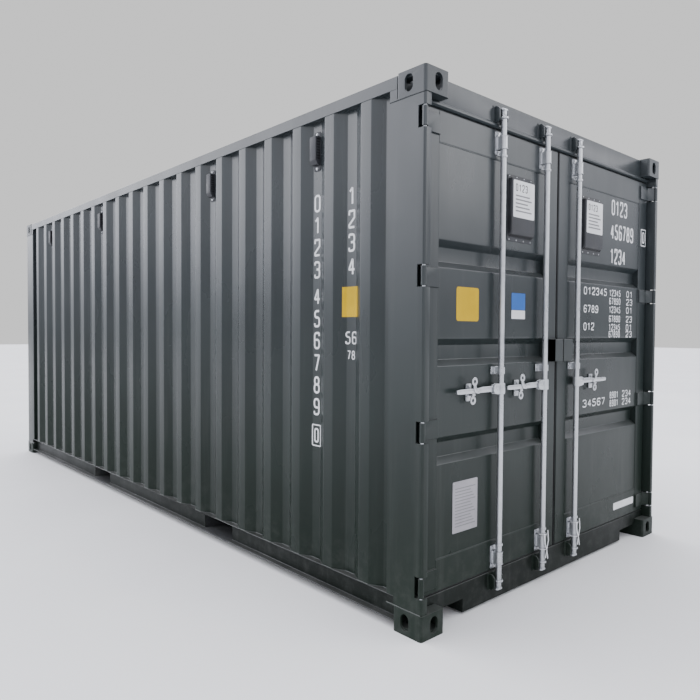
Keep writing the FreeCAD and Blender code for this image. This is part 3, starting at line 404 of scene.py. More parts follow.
def two_skins(outer, inner):
    """A closed sheet between two grids of the same shape: both skins and the strip round their edge."""
    rows, cols = outer.shape[:2]
    index = np.arange(rows * cols).reshape(rows, cols)
    rim = np.concatenate([index[0, :-1], index[:-1, -1], index[-1, :0:-1], index[:0:-1, 0]])
    _, front = grid(outer)
    back = front[0][:, ::-1] + rows * cols
    following = np.roll(rim, -1)
    strip = np.stack([rim, following, following + rows * cols, rim + rows * cols], -1)[:, ::-1]
    points = np.concatenate([outer.reshape(-1, 3), inner.reshape(-1, 3)])
    return points, front + [back, strip]


def ribbon(path, thickness):
    """The closed outline of a strip of a thickness along a plane path: the path moved half the thickness to
    one side, and back along the other."""
    path = np.asarray(path, float)
    runs = unit(np.diff(path, axis=0))
    tangent = unit(np.concatenate([runs[:1], runs[:-1] + runs[1:], runs[-1:]]))
    square = np.stack([-tangent[:, 1], tangent[:, 0]], -1) * thickness / 2
    return np.concatenate([path - square, (path + square)[::-1]])


def placed(patch, origin=(0, 0, 0), x=(1, 0, 0), y=(0, 1, 0), z=(0, 0, 1)):
    """A patch with its own axes laid along x, y and z and its origin moved."""
    points, faces = patch
    return points @ np.array([x, y, z], float) + np.asarray(origin, float), faces


def copies(patch, origins):
    """A patch repeated at each origin, as one patch."""
    points, faces = patch
    origins = np.asarray(origins, float).reshape(-1, 3)
    every = (points[None] + origins[:, None]).reshape(-1, 3)
    steps = (np.arange(len(origins)) * len(points))[:, None, None]
    return every, [(f[None] + steps).reshape(-1, f.shape[1]) for f in faces]


def joined(patches):
    """Several patches as one."""
    points, faces, total = [], [], 0
    for one_points, one_faces in patches:
        points.append(one_points)
        faces += [f + total for f in one_faces]
        total += len(one_points)
    return np.concatenate(points), faces


def mirrored(patch, axis=1):
    """The mirror image of a patch across an axis, with its faces turned round so that they still point
    out."""
    points, faces = patch
    points = points.copy()
    points[:, axis] *= -1
    return points, [f[:, ::-1] for f in faces]


FACING = {
    "door": ((0, 1, 0), (0, 0, 1), (1, 0, 0)),
    "left": ((1, 0, 0), (0, 0, 1), (0, -1, 0)),
    "right": ((-1, 0, 0), (0, 0, 1), (0, 1, 0)),
}


def seen(patch, place, side="door"):
    """A patch drawn flat and seen from outside, laid on the doors or on the wall of a side."""
    return placed(patch, place, *FACING[side])


def turned_way(patch, way):
    """A patch drawn towards +X, turned to the other way where that is negative."""
    return mirrored(patch, 0) if way < 0 else patch


def make(name, body, patches, material=None, replaces=()):
    """One object from patches of one material, or from (patch, material) pairs where none is given."""
    pairs = patches if material is None else [(patch, material) for patch in patches]
    points, loops, counts, shades, materials, total = [], [], [], [], [], 0
    for (one_points, one_faces), material in pairs:
        if material not in materials:
            materials.append(material)
        points.append(one_points)
        for faces in one_faces:
            loops.append((faces + total).ravel())
            counts.append(np.full(len(faces), faces.shape[1]))
            shades.append(np.full(len(faces), materials.index(material)))
        total += len(one_points)
    points, loops = np.concatenate(points), np.concatenate(loops)
    counts, shades = np.concatenate(counts), np.concatenate(shades)
    mesh = bpy.data.meshes.new(name)
    mesh.vertices.add(len(points))
    mesh.vertices.foreach_set("co", points.astype(np.float32).ravel())
    mesh.loops.add(len(loops))
    mesh.loops.foreach_set("vertex_index", loops.astype(np.int32))
    mesh.polygons.add(len(counts))
    mesh.polygons.foreach_set("loop_start", np.concatenate([[0], np.cumsum(counts)[:-1]]).astype(np.int32))
    mesh.polygons.foreach_set("material_index", shades.astype(np.int32))
    mesh.update(calc_edges=True)
    mesh.validate()
    return finish_mesh(name, mesh, materials, body, replaces)


def finish_mesh(name, mesh, materials, body, replaces):
    """Puts a mesh in the scene: outward normals, smooth faces with edges sharp past 35 degrees, materials
    and body."""
    work = bmesh.new()
    work.from_mesh(mesh)
    bmesh.ops.recalc_face_normals(work, faces=work.faces)
    work.to_mesh(mesh)
    work.free()
    mesh.polygons.foreach_set("use_smooth", np.ones(len(mesh.polygons), bool))
    mesh.set_sharp_from_angle(angle=math.radians(35))
    for material in materials:
        mesh.materials.append(finish(material))
    piece = bpy.data.objects.new(name, mesh)
    bpy.context.scene.collection.objects.link(piece)
    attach(piece, body)
    if replaces:
        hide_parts(*replaces)
    return piece


def bevelled(name, body, material, nodes, width=None, segments=2):
    """Copies of frame nodes as one piece: corners merged, flat faces joined, and every edge sharper than
    30 degrees rounded by a bevel."""
    work = bmesh.new()
    for node in nodes:
        work.from_mesh(frame["nodes"][node].data)
    bmesh.ops.remove_doubles(work, verts=work.verts, dist=0.02 * MM)
    bmesh.ops.dissolve_limit(work, angle_limit=math.radians(0.5), verts=work.verts, edges=work.edges)
    mesh = bpy.data.meshes.new(name)
    work.to_mesh(mesh)
    work.free()
    mesh.materials.clear()
    piece = finish_mesh(name, mesh, [material], body, nodes)
    bevel = piece.modifiers.new("edges", "BEVEL")
    bevel.width = width or settings("hardware").edge
    bevel.segments = segments
    bevel.limit_method = "ANGLE"
    bevel.angle_limit = math.radians(30)
    bevel.use_clamp_overlap = True
    bevel.harden_normals = False
    return piece


def settings(name):
    """The scene's settings of one group."""
    return getattr(bpy.context.scene, "container_" + name)


def toned(colour, tone):
    """A colour made lighter or darker by a factor."""
    return tuple(c * tone for c in colour)


# Finishes


class Nodes:
    """A short way to write the node tree of a material, ending in a Principled shader, or of the world."""

    def __init__(self, name, kind="materials", end="ShaderNodeOutputMaterial"):
        self.owner = getattr(bpy.data, kind).new(name)
        self.owner.use_nodes = True
        self.tree = self.owner.node_tree
        self.tree.nodes.clear()
        self.end = self.tree.nodes.new(end)
        self.places = self.add("ShaderNodeTexCoord").outputs
        self.object = self.places["Object"]

    def add(self, kind, sockets=None, **fields):
        node = self.tree.nodes.new(kind)
        for field, entry in fields.items():
            setattr(node, field, entry)
        for socket, entry in (sockets or {}).items():
            if isinstance(entry, bpy.types.NodeSocket):
                self.tree.links.new(entry, node.inputs[socket])
            else:
                node.inputs[socket].default_value = entry
        return node

    def noise(self, scale, detail=3.0, stretch=(1, 1, 1), rough=0.5, shift=(0, 0, 0)):
        """Noise over the object's own coordinates, stretched and shifted by a Mapping node."""
        where = self.add("ShaderNodeMapping", {"Vector": self.object, "Scale": stretch, "Location": shift})
        return self.add("ShaderNodeTexNoise", {"Vector": where.outputs[0], "Scale": scale, "Detail": detail,
                                               "Roughness": rough}).outputs["Fac"]

    def ramp(self, factor, start, end, low=0.0, high=1.0):
        """Maps a factor from start..end to low..high, smoothly and clamped."""
        return self.add("ShaderNodeMapRange", {"Value": factor, "From Min": start, "From Max": end,
                                               "To Min": low, "To Max": high},
                        interpolation_type="SMOOTHSTEP").outputs["Result"]

    def times(self, first, second):
        return self.add("ShaderNodeMath", {0: first, 1: second}, operation="MULTIPLY").outputs[0]

    def plus(self, first, second):
        return self.add("ShaderNodeMath", {0: first, 1: second}, operation="ADD").outputs[0]

    def blend(self, factor, first, second, how="MIX"):
        """Two colours mixed; a colour may be a socket or three numbers."""
        first, second = (c if isinstance(c, bpy.types.NodeSocket) else (*c, 1.0) for c in (first, second))
        return self.add("ShaderNodeMix", {"Factor": factor, 6: first, 7: second},
                        data_type="RGBA", blend_type=how).outputs[2]

    def bump(self, height, strength, distance, under=None):
        sockets = {"Height": height, "Strength": strength, "Distance": distance}
        if under is not None:
            sockets["Normal"] = under
        return self.add("ShaderNodeBump", sockets).outputs["Normal"]

    def shade(self, **sockets):
        shader = self.add("ShaderNodeBsdfPrincipled",
                          {name.replace("_", " "): entry for name, entry in sockets.items()})
        self.tree.links.new(shader.outputs[0], self.end.inputs["Surface"])
        return self.owner

    def height(self):
        """Height above the ground of a point, in metres."""
        return self.add("ShaderNodeSeparateXYZ", {"Vector": self.object}).outputs["Z"]

    def upward(self):
        """How far a face looks up, from -1 to 1."""
        normal = self.add("ShaderNodeNewGeometry").outputs["Normal"]
        return self.add("ShaderNodeSeparateXYZ", {"Vector": normal}).outputs["Z"]


def painted(name, grain, grain_size, roughness, tone=1.0):
    """Sprayed top coat: painted shade that darkens its colour towards the ground, slow changes of shade, faint
    rain runs, dust on ledges that also lightens faces that look up as painted light, splashes near the ground,
    small scuffs, and a grain that is orange peel on sheet or cast skin on castings. Its shine grows with
    height and on faces that look up, which paints shade low down and under ledges and a highlight on faces
    that look up."""
    colours = settings("colours")
    n = Nodes(name)
    # Painted shade: the coat's colour darkens from 2.3 m down to the ground.
    shade = n.blend(n.ramp(n.height(), 0.0, 2.3), toned(colours.paint_shaded_low, tone), toned(colours.paint, tone))
    shade = n.blend(n.ramp(n.noise(1.1, 4.0), 0.3, 0.7, 0.0, 0.35), shade, (0.16, 0.17, 0.19), "OVERLAY")
    runs = n.noise(9.0, 5.0, stretch=(1.6, 1.6, 0.07), rough=0.65)
    shade = n.blend(n.ramp(runs, 0.52, 0.78, 0.0, 0.07), shade, colours.dust)
    splash = n.times(n.ramp(n.height(), 0.55, 0.02), n.ramp(n.noise(14.0, 6.0, rough=0.7), 0.42, 0.72))
    shade = n.blend(n.times(splash, 0.10), shade, colours.dust)
    # Dust on ledges that also serves as painted light: it lightens faces that look up, such as the lower slopes of
    # the door bands.
    ledge_dust_and_light = n.times(n.ramp(n.upward(), 0.60, 0.92), n.ramp(n.noise(5.0, 5.0), 0.30, 0.75, 0.12, 0.34))
    shade = n.blend(ledge_dust_and_light, shade, colours.dust)
    scuff = n.ramp(n.noise(26.0, 8.0, stretch=(0.35, 0.35, 1.2), rough=0.75, shift=(3, 1, 7)), 0.66, 0.74)
    shade = n.blend(n.times(scuff, 0.10), shade, (0.22, 0.22, 0.22))
    gloss = n.ramp(n.noise(2.3, 5.0, stretch=(1, 1, 0.4)), 0.3, 0.75, roughness - 0.05, roughness + 0.06)
    gloss = n.plus(gloss, n.times(n.plus(ledge_dust_and_light, scuff), 0.22))
    skin = n.bump(n.noise(6.0, 2.0, shift=(5, 2, 1)), 0.25, 0.004)
    skin = n.bump(n.noise(grain_size, 2.0), grain, 0.0008, skin)
    # Painted light through the shine: lowered near the ground and on faces that look down to paint shade there,
    # raised on faces that look up to paint a highlight.
    shine = n.times(n.ramp(n.height(), 0.2, 2.3, 0.12, 0.58), n.ramp(n.upward(), -0.5, -0.05, 0.2, 1.0))
    shine = n.plus(shine, n.ramp(n.upward(), 0.05, 0.6, 0.0, 0.45))
    return n.shade(Base_Color=shade, Roughness=gloss, Normal=skin, Specular_IOR_Level=shine)


def undercoat(name):
    """Thick dull undercoat sprayed on everything below the floor."""
    n = Nodes(name)
    lump = n.noise(60.0, 5.0, rough=0.6)
    shade = n.blend(n.ramp(lump, 0.3, 0.7), (0.018, 0.020, 0.021), (0.045, 0.047, 0.048))
    shade = n.blend(n.ramp(n.noise(7.0, 6.0), 0.45, 0.75, 0.0, 0.4), shade, settings("colours").dust)
    return n.shade(Base_Color=shade, Roughness=n.ramp(lump, 0.3, 0.7, 0.55, 0.8),
                   Normal=n.bump(lump, 0.5, 0.002))


def galvanised(name, grain, tone=1.0):
    """Zinc with its crystal spangle: cells of slightly different grey and gloss, a dull bloom and fine
    pits."""
    base = toned(settings("colours").zinc, tone)
    n = Nodes(name)
    where = n.add("ShaderNodeMapping", {"Vector": n.object, "Scale": (1, 1, 0.6)}).outputs[0]
    cell = n.add("ShaderNodeTexVoronoi", {"Vector": where, "Scale": grain}).outputs["Color"]
    grey = n.add("ShaderNodeSeparateColor", {"Color": cell}).outputs["Red"]
    shade = n.blend(grey, toned(base, 0.93), toned(base, 1.05))
    bloom = n.ramp(n.noise(9.0, 6.0, stretch=(1, 1, 0.3), rough=0.6), 0.45, 0.75)
    shade = n.blend(n.times(bloom, 0.25), shade, (0.60, 0.61, 0.62))
    stain = n.ramp(n.noise(21.0, 5.0, shift=(2, 8, 3)), 0.62, 0.80, 0.0, 0.16)
    shade = n.blend(stain, shade, (0.34, 0.33, 0.32))
    gloss = n.plus(n.ramp(grey, 0.0, 1.0, 0.27, 0.34), n.times(bloom, 0.18))
    pits = n.bump(n.noise(650.0, 3.0), 0.12, 0.0006)
    return n.shade(Base_Color=shade, Metallic=0.85, Roughness=gloss, Normal=pits)


def rubber(name):
    """Black rubber with a dusty bloom and a fine grain."""
    n = Nodes(name)
    bloom = n.ramp(n.noise(35.0, 6.0, rough=0.7), 0.35, 0.75)
    shade = n.blend(n.times(bloom, 0.35), settings("colours").rubber, (0.06, 0.06, 0.06))
    return n.shade(Base_Color=shade, Roughness=n.ramp(bloom, 0.0, 1.0, 0.5, 0.8),
                   Normal=n.bump(n.noise(300.0, 3.0), 0.25, 0.0006))


def plastic(name):
    """Moulded plastic: fine spark-eroded grain, clouds of gloss, and dust where it looks up."""
    n = Nodes(name)
    cloud = n.noise(11.0, 5.0)
    shade = n.blend(n.ramp(cloud, 0.3, 0.7), (0.013, 0.014, 0.017), (0.024, 0.026, 0.031))
    shade = n.blend(n.ramp(n.upward(), 0.4, 0.95, 0.0, 0.5), shade, settings("colours").dust)
    return n.shade(Base_Color=shade, Roughness=n.ramp(cloud, 0.3, 0.7, 0.42, 0.62),
                   Normal=n.bump(n.noise(900.0, 2.0), 0.25, 0.0004))


def plywood(name):
    """Marine plywood: long grain, darker growth bands, boot marks and an oiled, uneven gloss."""
    ply = settings("colours").ply
    n = Nodes(name)
    bend = n.noise(1.7, 3.0, stretch=(0.3, 1, 1))
    where = n.add("ShaderNodeMapping", {"Vector": n.object, "Scale": (0.8, 14.0, 14.0)}).outputs[0]
    wavy = n.add("ShaderNodeVectorMath", {0: where, 1: n.times(bend, 5.0)}, operation="ADD").outputs[0]
    bands = n.add("ShaderNodeTexNoise", {"Vector": wavy, "Scale": 2.2, "Detail": 7.0,
                                         "Roughness": 0.62}).outputs[0]
    pores = n.noise(160.0, 4.0, stretch=(0.05, 1, 1))
    shade = n.blend(n.ramp(bands, 0.3, 0.72), toned(ply, 0.55), ply)
    shade = n.blend(n.ramp(pores, 0.55, 0.75, 0.0, 0.5), shade, (0.07, 0.035, 0.018))
    marks = n.ramp(n.noise(3.1, 7.0, rough=0.68, shift=(4, 9, 0)), 0.55, 0.75, 0.0, 0.6)
    shade = n.blend(marks, shade, (0.12, 0.095, 0.075))
    return n.shade(Base_Color=shade, Roughness=n.ramp(bands, 0.3, 0.7, 0.42, 0.62),
                   Normal=n.bump(pores, 0.3, 0.001))


def vinyl(name, colour, roughness=0.42, tone=1.0):
    """Stuck-on film or brushed marking paint: slight fading, grime in specks, and a faintly uneven face.  The
    colour is three numbers or the name of a setting."""
    colour = toned(getattr(settings("colours"), colour) if isinstance(colour, str) else colour, tone)
    n = Nodes(name)
    fade = n.ramp(n.noise(7.0, 4.0), 0.3, 0.75)
    shade = n.blend(fade, colour, toned(colour, 0.84))
    specks = n.ramp(n.noise(120.0, 6.0, rough=0.7), 0.64, 0.74, 0.0, 0.55)
    shade = n.blend(specks, shade, (0.10, 0.10, 0.10))
    return n.shade(Base_Color=shade, Roughness=n.ramp(fade, 0.0, 1.0, roughness, roughness + 0.12),
                   Normal=n.bump(n.noise(240.0, 2.0), 0.08, 0.0005), Specular_IOR_Level=0.2)


def studio(name):
    """A pale painted studio floor with a barely uneven sheen."""
    n = Nodes(name)
    cloud = n.noise(0.6, 4.0)
    shade = n.blend(n.ramp(cloud, 0.3, 0.7), (0.80, 0.80, 0.80), (0.84, 0.84, 0.835))
    return n.shade(Base_Color=shade, Roughness=n.ramp(cloud, 0.3, 0.7, 0.75, 0.85))


# Each material's maker and what it is given.  The shaded rail paint is the frame's coat darkened to 0.42 as painted
# shade on the lowest rails and the sill, and the painted hollow shade is a near-black film that stands in for the
# unlit inside of louvres.
FINISHES = {
    "frame_paint": (painted, {"grain": 0.10, "grain_size": 420.0, "roughness": 0.32}),
    "panel_paint": (painted, {"grain": 0.08, "grain_size": 520.0, "roughness": 0.29}),
    "cast_paint": (painted, {"grain": 0.55, "grain_size": 190.0, "roughness": 0.42}),
    "rail_paint": (painted, {"grain": 0.14, "grain_size": 380.0, "roughness": 0.40, "tone": 0.42}),
    "beam_paint": (undercoat, {}),
    "galvanised": (galvanised, {"grain": 70.0}),
    "zinc_bolt": (galvanised, {"grain": 260.0, "tone": 0.86}),
    "seal_rubber": (rubber, {}),
    "vent_plastic": (plastic, {}),
    "floor_wood": (plywood, {}),
    "marking_white": (vinyl, {"colour": "marking"}),
    "patch_white": (vinyl, {"colour": "marking", "roughness": 0.34, "tone": 0.96}),
    "patch_yellow": (vinyl, {"colour": "yellow"}),
    "patch_blue": (vinyl, {"colour": "blue"}),
    "patch_grey": (vinyl, {"colour": (0.20, 0.20, 0.21)}),
    "plate_grey": (vinyl, {"colour": (0.33, 0.32, 0.34), "roughness": 0.34}),
    "patch_dark": (vinyl, {"colour": (0.030, 0.026, 0.022)}),
    "dark_hollow": (vinyl, {"colour": (0.010, 0.010, 0.011), "roughness": 0.8}),
    "plain_floor": (studio, {}),
}
# Each finish's material, once it has been made.
MADE = {}


def finish(name):
    """The material of a finish, made once."""
    if name not in MADE:
        maker, options = FINISHES[name]
        MADE[name] = maker(name, **options)
    return MADE[name]


# Shapes used by several pieces


def refined(path, longest):
    """A path with more points, so that no run is longer than a length: the path read at its own corners and
    at every multiple of that length."""
    path = np.asarray(path, float)
    reach = np.concatenate([[0], np.cumsum(np.linalg.norm(np.diff(path, axis=0), axis=1))])
    where = np.union1d(reach, np.arange(0, reach[-1], longest))
    where = where[np.concatenate([[True], np.diff(where) > 0.2 * MM])]
    return np.stack([np.interp(where, reach, path[:, k]) for k in range(path.shape[1])], -1)


def shifted(path, distance):
    """A plane path moved square to its own tangents."""
    runs = unit(np.diff(path, axis=0))
    tangent = unit(np.concatenate([runs[:1], runs[:-1] + runs[1:], runs[-1:]]))
    return path + np.stack([-tangent[:, 1], tangent[:, 0]], -1) * distance


def folds(reach, pitch, crest, slope, depth, bend):
    """A pressed sheet's section as (along, out): whole folds centred on 0, flat at 0 in the recesses and at
    depth on the crests, with arcs at the bends."""
    count = math.floor(reach / pitch + 1e-6)
    recess = pitch - crest - 2 * slope
    corners = recess / 2 + np.array([0, slope, slope + crest, 2 * slope + crest])
    along = (np.arange(count)[:, None] * pitch - count * pitch / 2 + corners).ravel()
    out = np.tile([0.0, depth, depth, 0.0], count)
    section = np.column_stack([along, out])
    section = np.concatenate([[[-reach / 2, 0]], section, [[reach / 2, 0]]])
    return rounded(section, bend, 4)


def waves(a, b, height):
    """A slow bulge over two coordinates: a sum of three products of sines, at most the given height."""
    total = (np.sin(2.3 * a + 0.7) * np.sin(2.9 * b + 1.9) + 0.6 * np.sin(5.1 * a + 2.1) * np.sin(4.3 * b)
             + 0.4 * np.sin(9.7 * a + 0.3) * np.sin(7.9 * b + 2.6))
    return height * total / 2


def weld(path, radius, up):
    """A weld bead along a path: a hexagon whose size ripples with the distance s along it as
    1 + 0.14 sin(2 pi s / pitch) + 0.08 sin(37 s), the pitch being one and a half times the bead's width."""
    path = refined(path, radius * 1.1)
    reach = np.concatenate([[0], np.cumsum(np.linalg.norm(np.diff(path, axis=0), axis=1))])
    ripple = 1 + 0.14 * np.sin(2 * np.pi * reach / (3 * radius)) + 0.08 * np.sin(reach * 37)
    return carry(arc((0, 0), radius, 0, 300, 6), path, up, swell=ripple)


def hex_bolt(radius):
    """A washer under a hexagon head with a turned chamfer."""
    washer = lathe([(radius * 1.5, 0), (radius * 1.5, radius * 0.18), (radius * 1.38, radius * 0.26)], 20)
    head = stack(rounded(arc((0, 0), radius * 1.12, 0, 300, 6), 0.001, 2, closed=True),
                 [(0, radius * 0.26), (0, radius * 0.78), (radius * 0.16, radius * 0.95)])
    return joined([washer, head])


def dome_rivet(radius):
    """A dome head: radius cos a at height 0.6 radius sin a."""
    a = np.linspace(0, np.pi / 2, 5)
    return lathe(np.column_stack([radius * np.cos(a), 0.6 * radius * np.sin(a)]), 14)


def slab(low_corner, high_corner, edge=0.002):
    """A block between two corners with every edge rounded."""
    low_corner, high_corner = np.asarray(low_corner, float), np.asarray(high_corner, float)
    size = high_corner - low_corner
    outline = rectangle(size[0], size[1], min(edge * 1.5, size[:2].min() * 0.4), 3)
    origin = (low_corner + high_corner) / 2
    return placed(plate(outline, size[2], edge), (origin[0], origin[1], low_corner[2]))


def tube_band(radius, hole, tall, edge):
    """A round collar with a hole and rounded rims, from z = 0 to tall."""
    section = rounded([(hole, 0), (radius, 0), (radius, tall), (hole, tall)], edge, 3, closed=True)
    return ring(section, 32)


def sheet_wall(section, levels, out, thickness, wave=0.0):
    """Both skins of a sheet whose section (along, out) is the same at every level. The out-coordinate gets
    the slow waves, faded out at the first and last level. The caller turns (along, out, level) into its own
    axes."""
    section = refined(section, 0.045)
    inner = shifted(section, out * thickness)
    along, level = np.meshgrid(section[:, 0], levels)
    share = (levels - levels[0]) / (levels[-1] - levels[0])
    fade = (4 * share * (1 - share))[:, None] ** 0.5
    bulge = waves(along, level, wave) * fade
    front = np.stack([along, section[:, 1] + bulge, level], -1)
    back = np.stack([np.broadcast_to(inner[:, 0], along.shape), inner[:, 1] + bulge, level], -1)
    return two_skins(front, back)


def door_bead(places, size=3 * MM, lift=0.0):
    """A weld bead along (y, z) places on the doors' face."""
    return weld([(DOOR_FACE + lift, y, z) for y, z in places], size, (1, 0, 0))


def padlock_eye():
    """The flat eye that a padlock goes through, on a handle or a catch."""
    return tube_band(0.0215, 0.0090, 0.005, 0.0014)


def rods_of(side):
    """The rods that one door carries."""
    return [prefix for prefix, word, _ in RODS if word == side]


def wall_recess():
    """How far out the right side wall's recesses lie."""
    return low("right_side_wall")[1] + settings("sheet").sheet


def wall_folds(shorter=0.0):
    """A side wall's section as (x, out), with out measured from its recesses, over its length less an
    amount."""
    s = settings("sheet")
    lo, hi = corners("right_side_wall")
    depth = hi[1] - wall_recess()
    return folds(hi[0] - lo[0] - shorter, s.wall_pitch, s.wall_crest, s.wall_slope, depth, s.bend)


# Digits and patches


DIGITS = {
    "0": [("closed", [(0, 0), (1, 0), (1, 2), (0, 2)])],
    "1": [("open", [(0.1, 1.55), (0.6, 2), (0.6, 0)])],
    "2": [("open", [(0, 1.5), (0, 2), (1, 2), (1, 1.15), (0, 0.3), (0, 0), (1, 0)])],
    "3": [("open", [(0, 1.6), (0, 2), (1, 2), (1, 1.05), (0.35, 1.05)]),
          ("open", [(0.35, 1.05), (1, 1.05), (1, 0), (0, 0), (0, 0.4)])],
    "4": [("open", [(0.72, 0), (0.72, 2), (0, 0.6), (1.05, 0.6)])],
    "5": [("open", [(0.95, 2), (0.05, 2), (0.05, 1.15), (1, 1.15), (1, 0), (0, 0), (0, 0.4)])],
    "6": [("open", [(1, 1.6), (1, 2), (0, 2), (0, 0), (1, 0), (1, 1.1), (0.05, 1.1)])],
    "7": [("open", [(0, 2), (1, 2), (0.35, 0)])],
    "8": [("closed", [(0.06, 1.05), (0.94, 1.05), (0.94, 2), (0.06, 2)]),
          ("closed", [(0, 0), (1, 0), (1, 1.05), (0, 1.05)])],
    "9": [("open", [(0, 0.4), (0, 0), (1, 0), (1, 2), (0, 2), (0, 0.9), (0.95, 0.9)])],
}


def band(points, width, closed=False, lift=0.0):
    """A flat stripe of film along a path drawn on z = 0."""
    path = np.column_stack([points, np.full(len(points), FILM / 2 + lift)])
    section = np.array([[-width / 2, -FILM / 2], [width / 2, -FILM / 2], [width / 2, FILM / 2],
                        [-width / 2, FILM / 2]])
    return carry(section, path, (0, 0, 1), closed=closed)


def digit(figure, width, tall, stroke):
    """One figure, its lower left corner at 0: each stroke's corner points are scaled from a 1 x 2 cell to the
    space inside the stroke's own width, and its corners rounded."""
    parts = []
    scale = np.array([(width - stroke), (tall - stroke) / 2])
    for index, (kind, corners) in enumerate(DIGITS[figure]):
        corners = np.array(corners, float) * scale + stroke / 2
        path = rounded(corners, (0.30 if figure in "035689" else 0.05) * width, 4, closed=kind == "closed")
        parts.append(band(path, stroke, closed=kind == "closed", lift=0.02 * MM * index))
    return joined(parts)


def number(figures, width, tall, stroke, gap):
    """Several figures in a row."""
    return joined([placed(digit(figure, width, tall, stroke), ((width + gap) * k, 0, 0))
                   for k, figure in enumerate(figures)])


def frame_line(width, tall, stroke, radius=0.004):
    """A boxed outline, its lower left corner at 0."""
    corners = np.array([[0, 0], [width, 0], [width, tall], [0, tall]]) * 1.0
    return band(rounded(corners, radius, 3, closed=True), stroke, closed=True)


def film(width, tall, radius):
    """A stuck-on rectangle of film, its lower left corner at 0."""
    return placed(plate(rectangle(width, tall, radius, 3), FILM), (width / 2, tall / 2, 0))


# Pieces


class PieceOperator:
    """What every piece's operator shares."""

    bl_options = {"REGISTER", "UNDO"}

    def execute(self, context):
        self.build()
        return {"FINISHED"}


class CONTAINER_OT_castings(PieceOperator, bpy.types.Operator):
    """Corner castings, top and bottom, with broken edges round every aperture"""

    bl_idname = "container.castings"
    bl_label = "Corner Castings"

    def build(self):
        for level in ("top", "bottom"):
            bevelled(level + "_corner_castings", "container", "cast_paint", [level + "_castings"], 0.011, 4)


class CONTAINER_OT_frame(PieceOperator, bpy.types.Operator):
    """Posts, rails, door header and sill as bevelled steel"""

    bl_idname = "container.steel_frame"
    bl_label = "Steel Frame"

    def build(self):
        # The lowest rails and the sill take the shaded rail paint: painted shade that makes them darker than the
        # rest of the frame.
        for name, material, *nodes in (
            ("bottom_rails", "rail_paint", "bottom_side_rails", "rail_pocket_strips", "front_bottom_rail"),
            ("door_sill_beam", "rail_paint", "door_sill"),
            ("rear_corner_posts", "frame_paint", "rear_posts"),
            ("front_corner_posts", "frame_paint", "front_posts"),
            ("top_rails", "frame_paint", "top_side_rails", "front_top_rail"),
            ("door_header_beam", "frame_paint", "door_header"),
            ("roof_end_plates", "frame_paint", "roof_header_plates"),
        ):
            bevelled(name, "container", material, nodes)


class CONTAINER_OT_understructure(PieceOperator, bpy.types.Operator):
    """Cross beams and lift pockets under the floor"""

    bl_idname = "container.understructure"
    bl_label = "Understructure"

    def build(self):
        bevelled("cross_beams", "container", "beam_paint", ["floor_beams"], 0.0015)
        pockets = ["lift_pocket_plates", "lift_pocket_sides"]
        bevelled("fork_pockets", "container", "beam_paint", pockets, 0.0012)


class CONTAINER_OT_keepers(PieceOperator, bpy.types.Operator):
    """Cam keepers: a welded foot plate with two round-nosed cheeks at each rod's end"""

    bl_idname = "container.keepers"
    bl_label = "Cam Keepers"

    def build(self):
        lo, hi = corners("cam_keepers")
        reach, tall, slant = hi[0] - DOOR_FACE, 0.080, 0.014
        flat = reach * 0.55
        nose = [(0, 0), (flat, 0), (reach, slant), (reach, tall - slant), (flat, tall), (0, tall)]
        cheek = plate(rounded(nose, 0.012, 4, closed=True), 0.009, 0.0018)
        foot = plate(rectangle(0.092, tall + 0.010, 0.008), 0.004, 0.0012)
        patches = []
        for prefix, _, _ in RODS:
            rod = joint_place(prefix + "_rod_turn")[1]
            for base in (hi[2] - tall, lo[2]):
                patches += [placed(cheek, (DOOR_FACE, rod + edge, base), (1, 0, 0), (0, 0, 1), (0, -1, 0))
                            for edge in (-0.0295, 0.0385)]
                patches.append(seen(foot, (DOOR_FACE, rod, base + tall / 2)))
                patches += [door_bead([(rod + edge, base - 0.004), (rod + edge, base + tall + 0.004)])
                            for edge in (-0.0475, 0.0475)]
        make("keeper_cheeks", "container", patches, "frame_paint", ["cam_keepers"])


class CONTAINER_OT_side_walls(PieceOperator, bpy.types.Operator):
    """Corrugated side walls: one folded section at every height, with a slow bulge in the sheet"""

    bl_idname = "container.side_walls"
    bl_label = "Side Walls"

    def build(self):
        s = settings("sheet")
        lo, hi = corners("right_side_wall")
        section = wall_folds(2 * s.sheet)
        turned = SKIN_SIDE - WALL_INSET - wall_recess()
        section = np.concatenate([[[section[0, 0], turned]], section, [[section[-1, 0], turned]]])
        points, faces = sheet_wall(section, np.linspace(lo[2], hi[2], 36), -1, s.sheet, s.waviness)
        wall = points + [0, wall_recess(), 0], faces
        make("right_corrugated_wall", "container", [wall], "panel_paint", ["right_side_wall"])
        make("left_corrugated_wall", "container", [mirrored(wall)], "panel_paint", ["left_side_wall"])


class CONTAINER_OT_front_wall(PieceOperator, bpy.types.Operator):
    """Corrugated blind end: the folded section at every height between the posts, and a flat strip behind
    each post"""

    bl_idname = "container.front_wall"
    bl_label = "Front Wall"

    def build(self):
        s = settings("sheet")
        lo, hi = corners("front_wall")
        depth = hi[0] - lo[0] - s.sheet
        middle = high("front_top_rail")[1] - MM
        section = folds(2 * middle, s.front_pitch, s.front_crest, s.front_slope, depth, s.bend)
        points, faces = sheet_wall(section, np.linspace(lo[2], hi[2], 36), -1, s.sheet, s.waviness)
        face = hi[0] - s.sheet
        patches = [(np.column_stack([face - points[:, 1], points[:, 0], points[:, 2]]), faces)]
        top = low("top_castings")[2] - MM
        for _, sign in SIDES:
            ends = sorted((sign * middle, sign * hi[1]))
            patches.append(slab((face, ends[0], lo[2]), (hi[0], ends[1], top), 0.0005))
        make("front_corrugated_wall", "container", patches, "panel_paint", ["front_wall"])


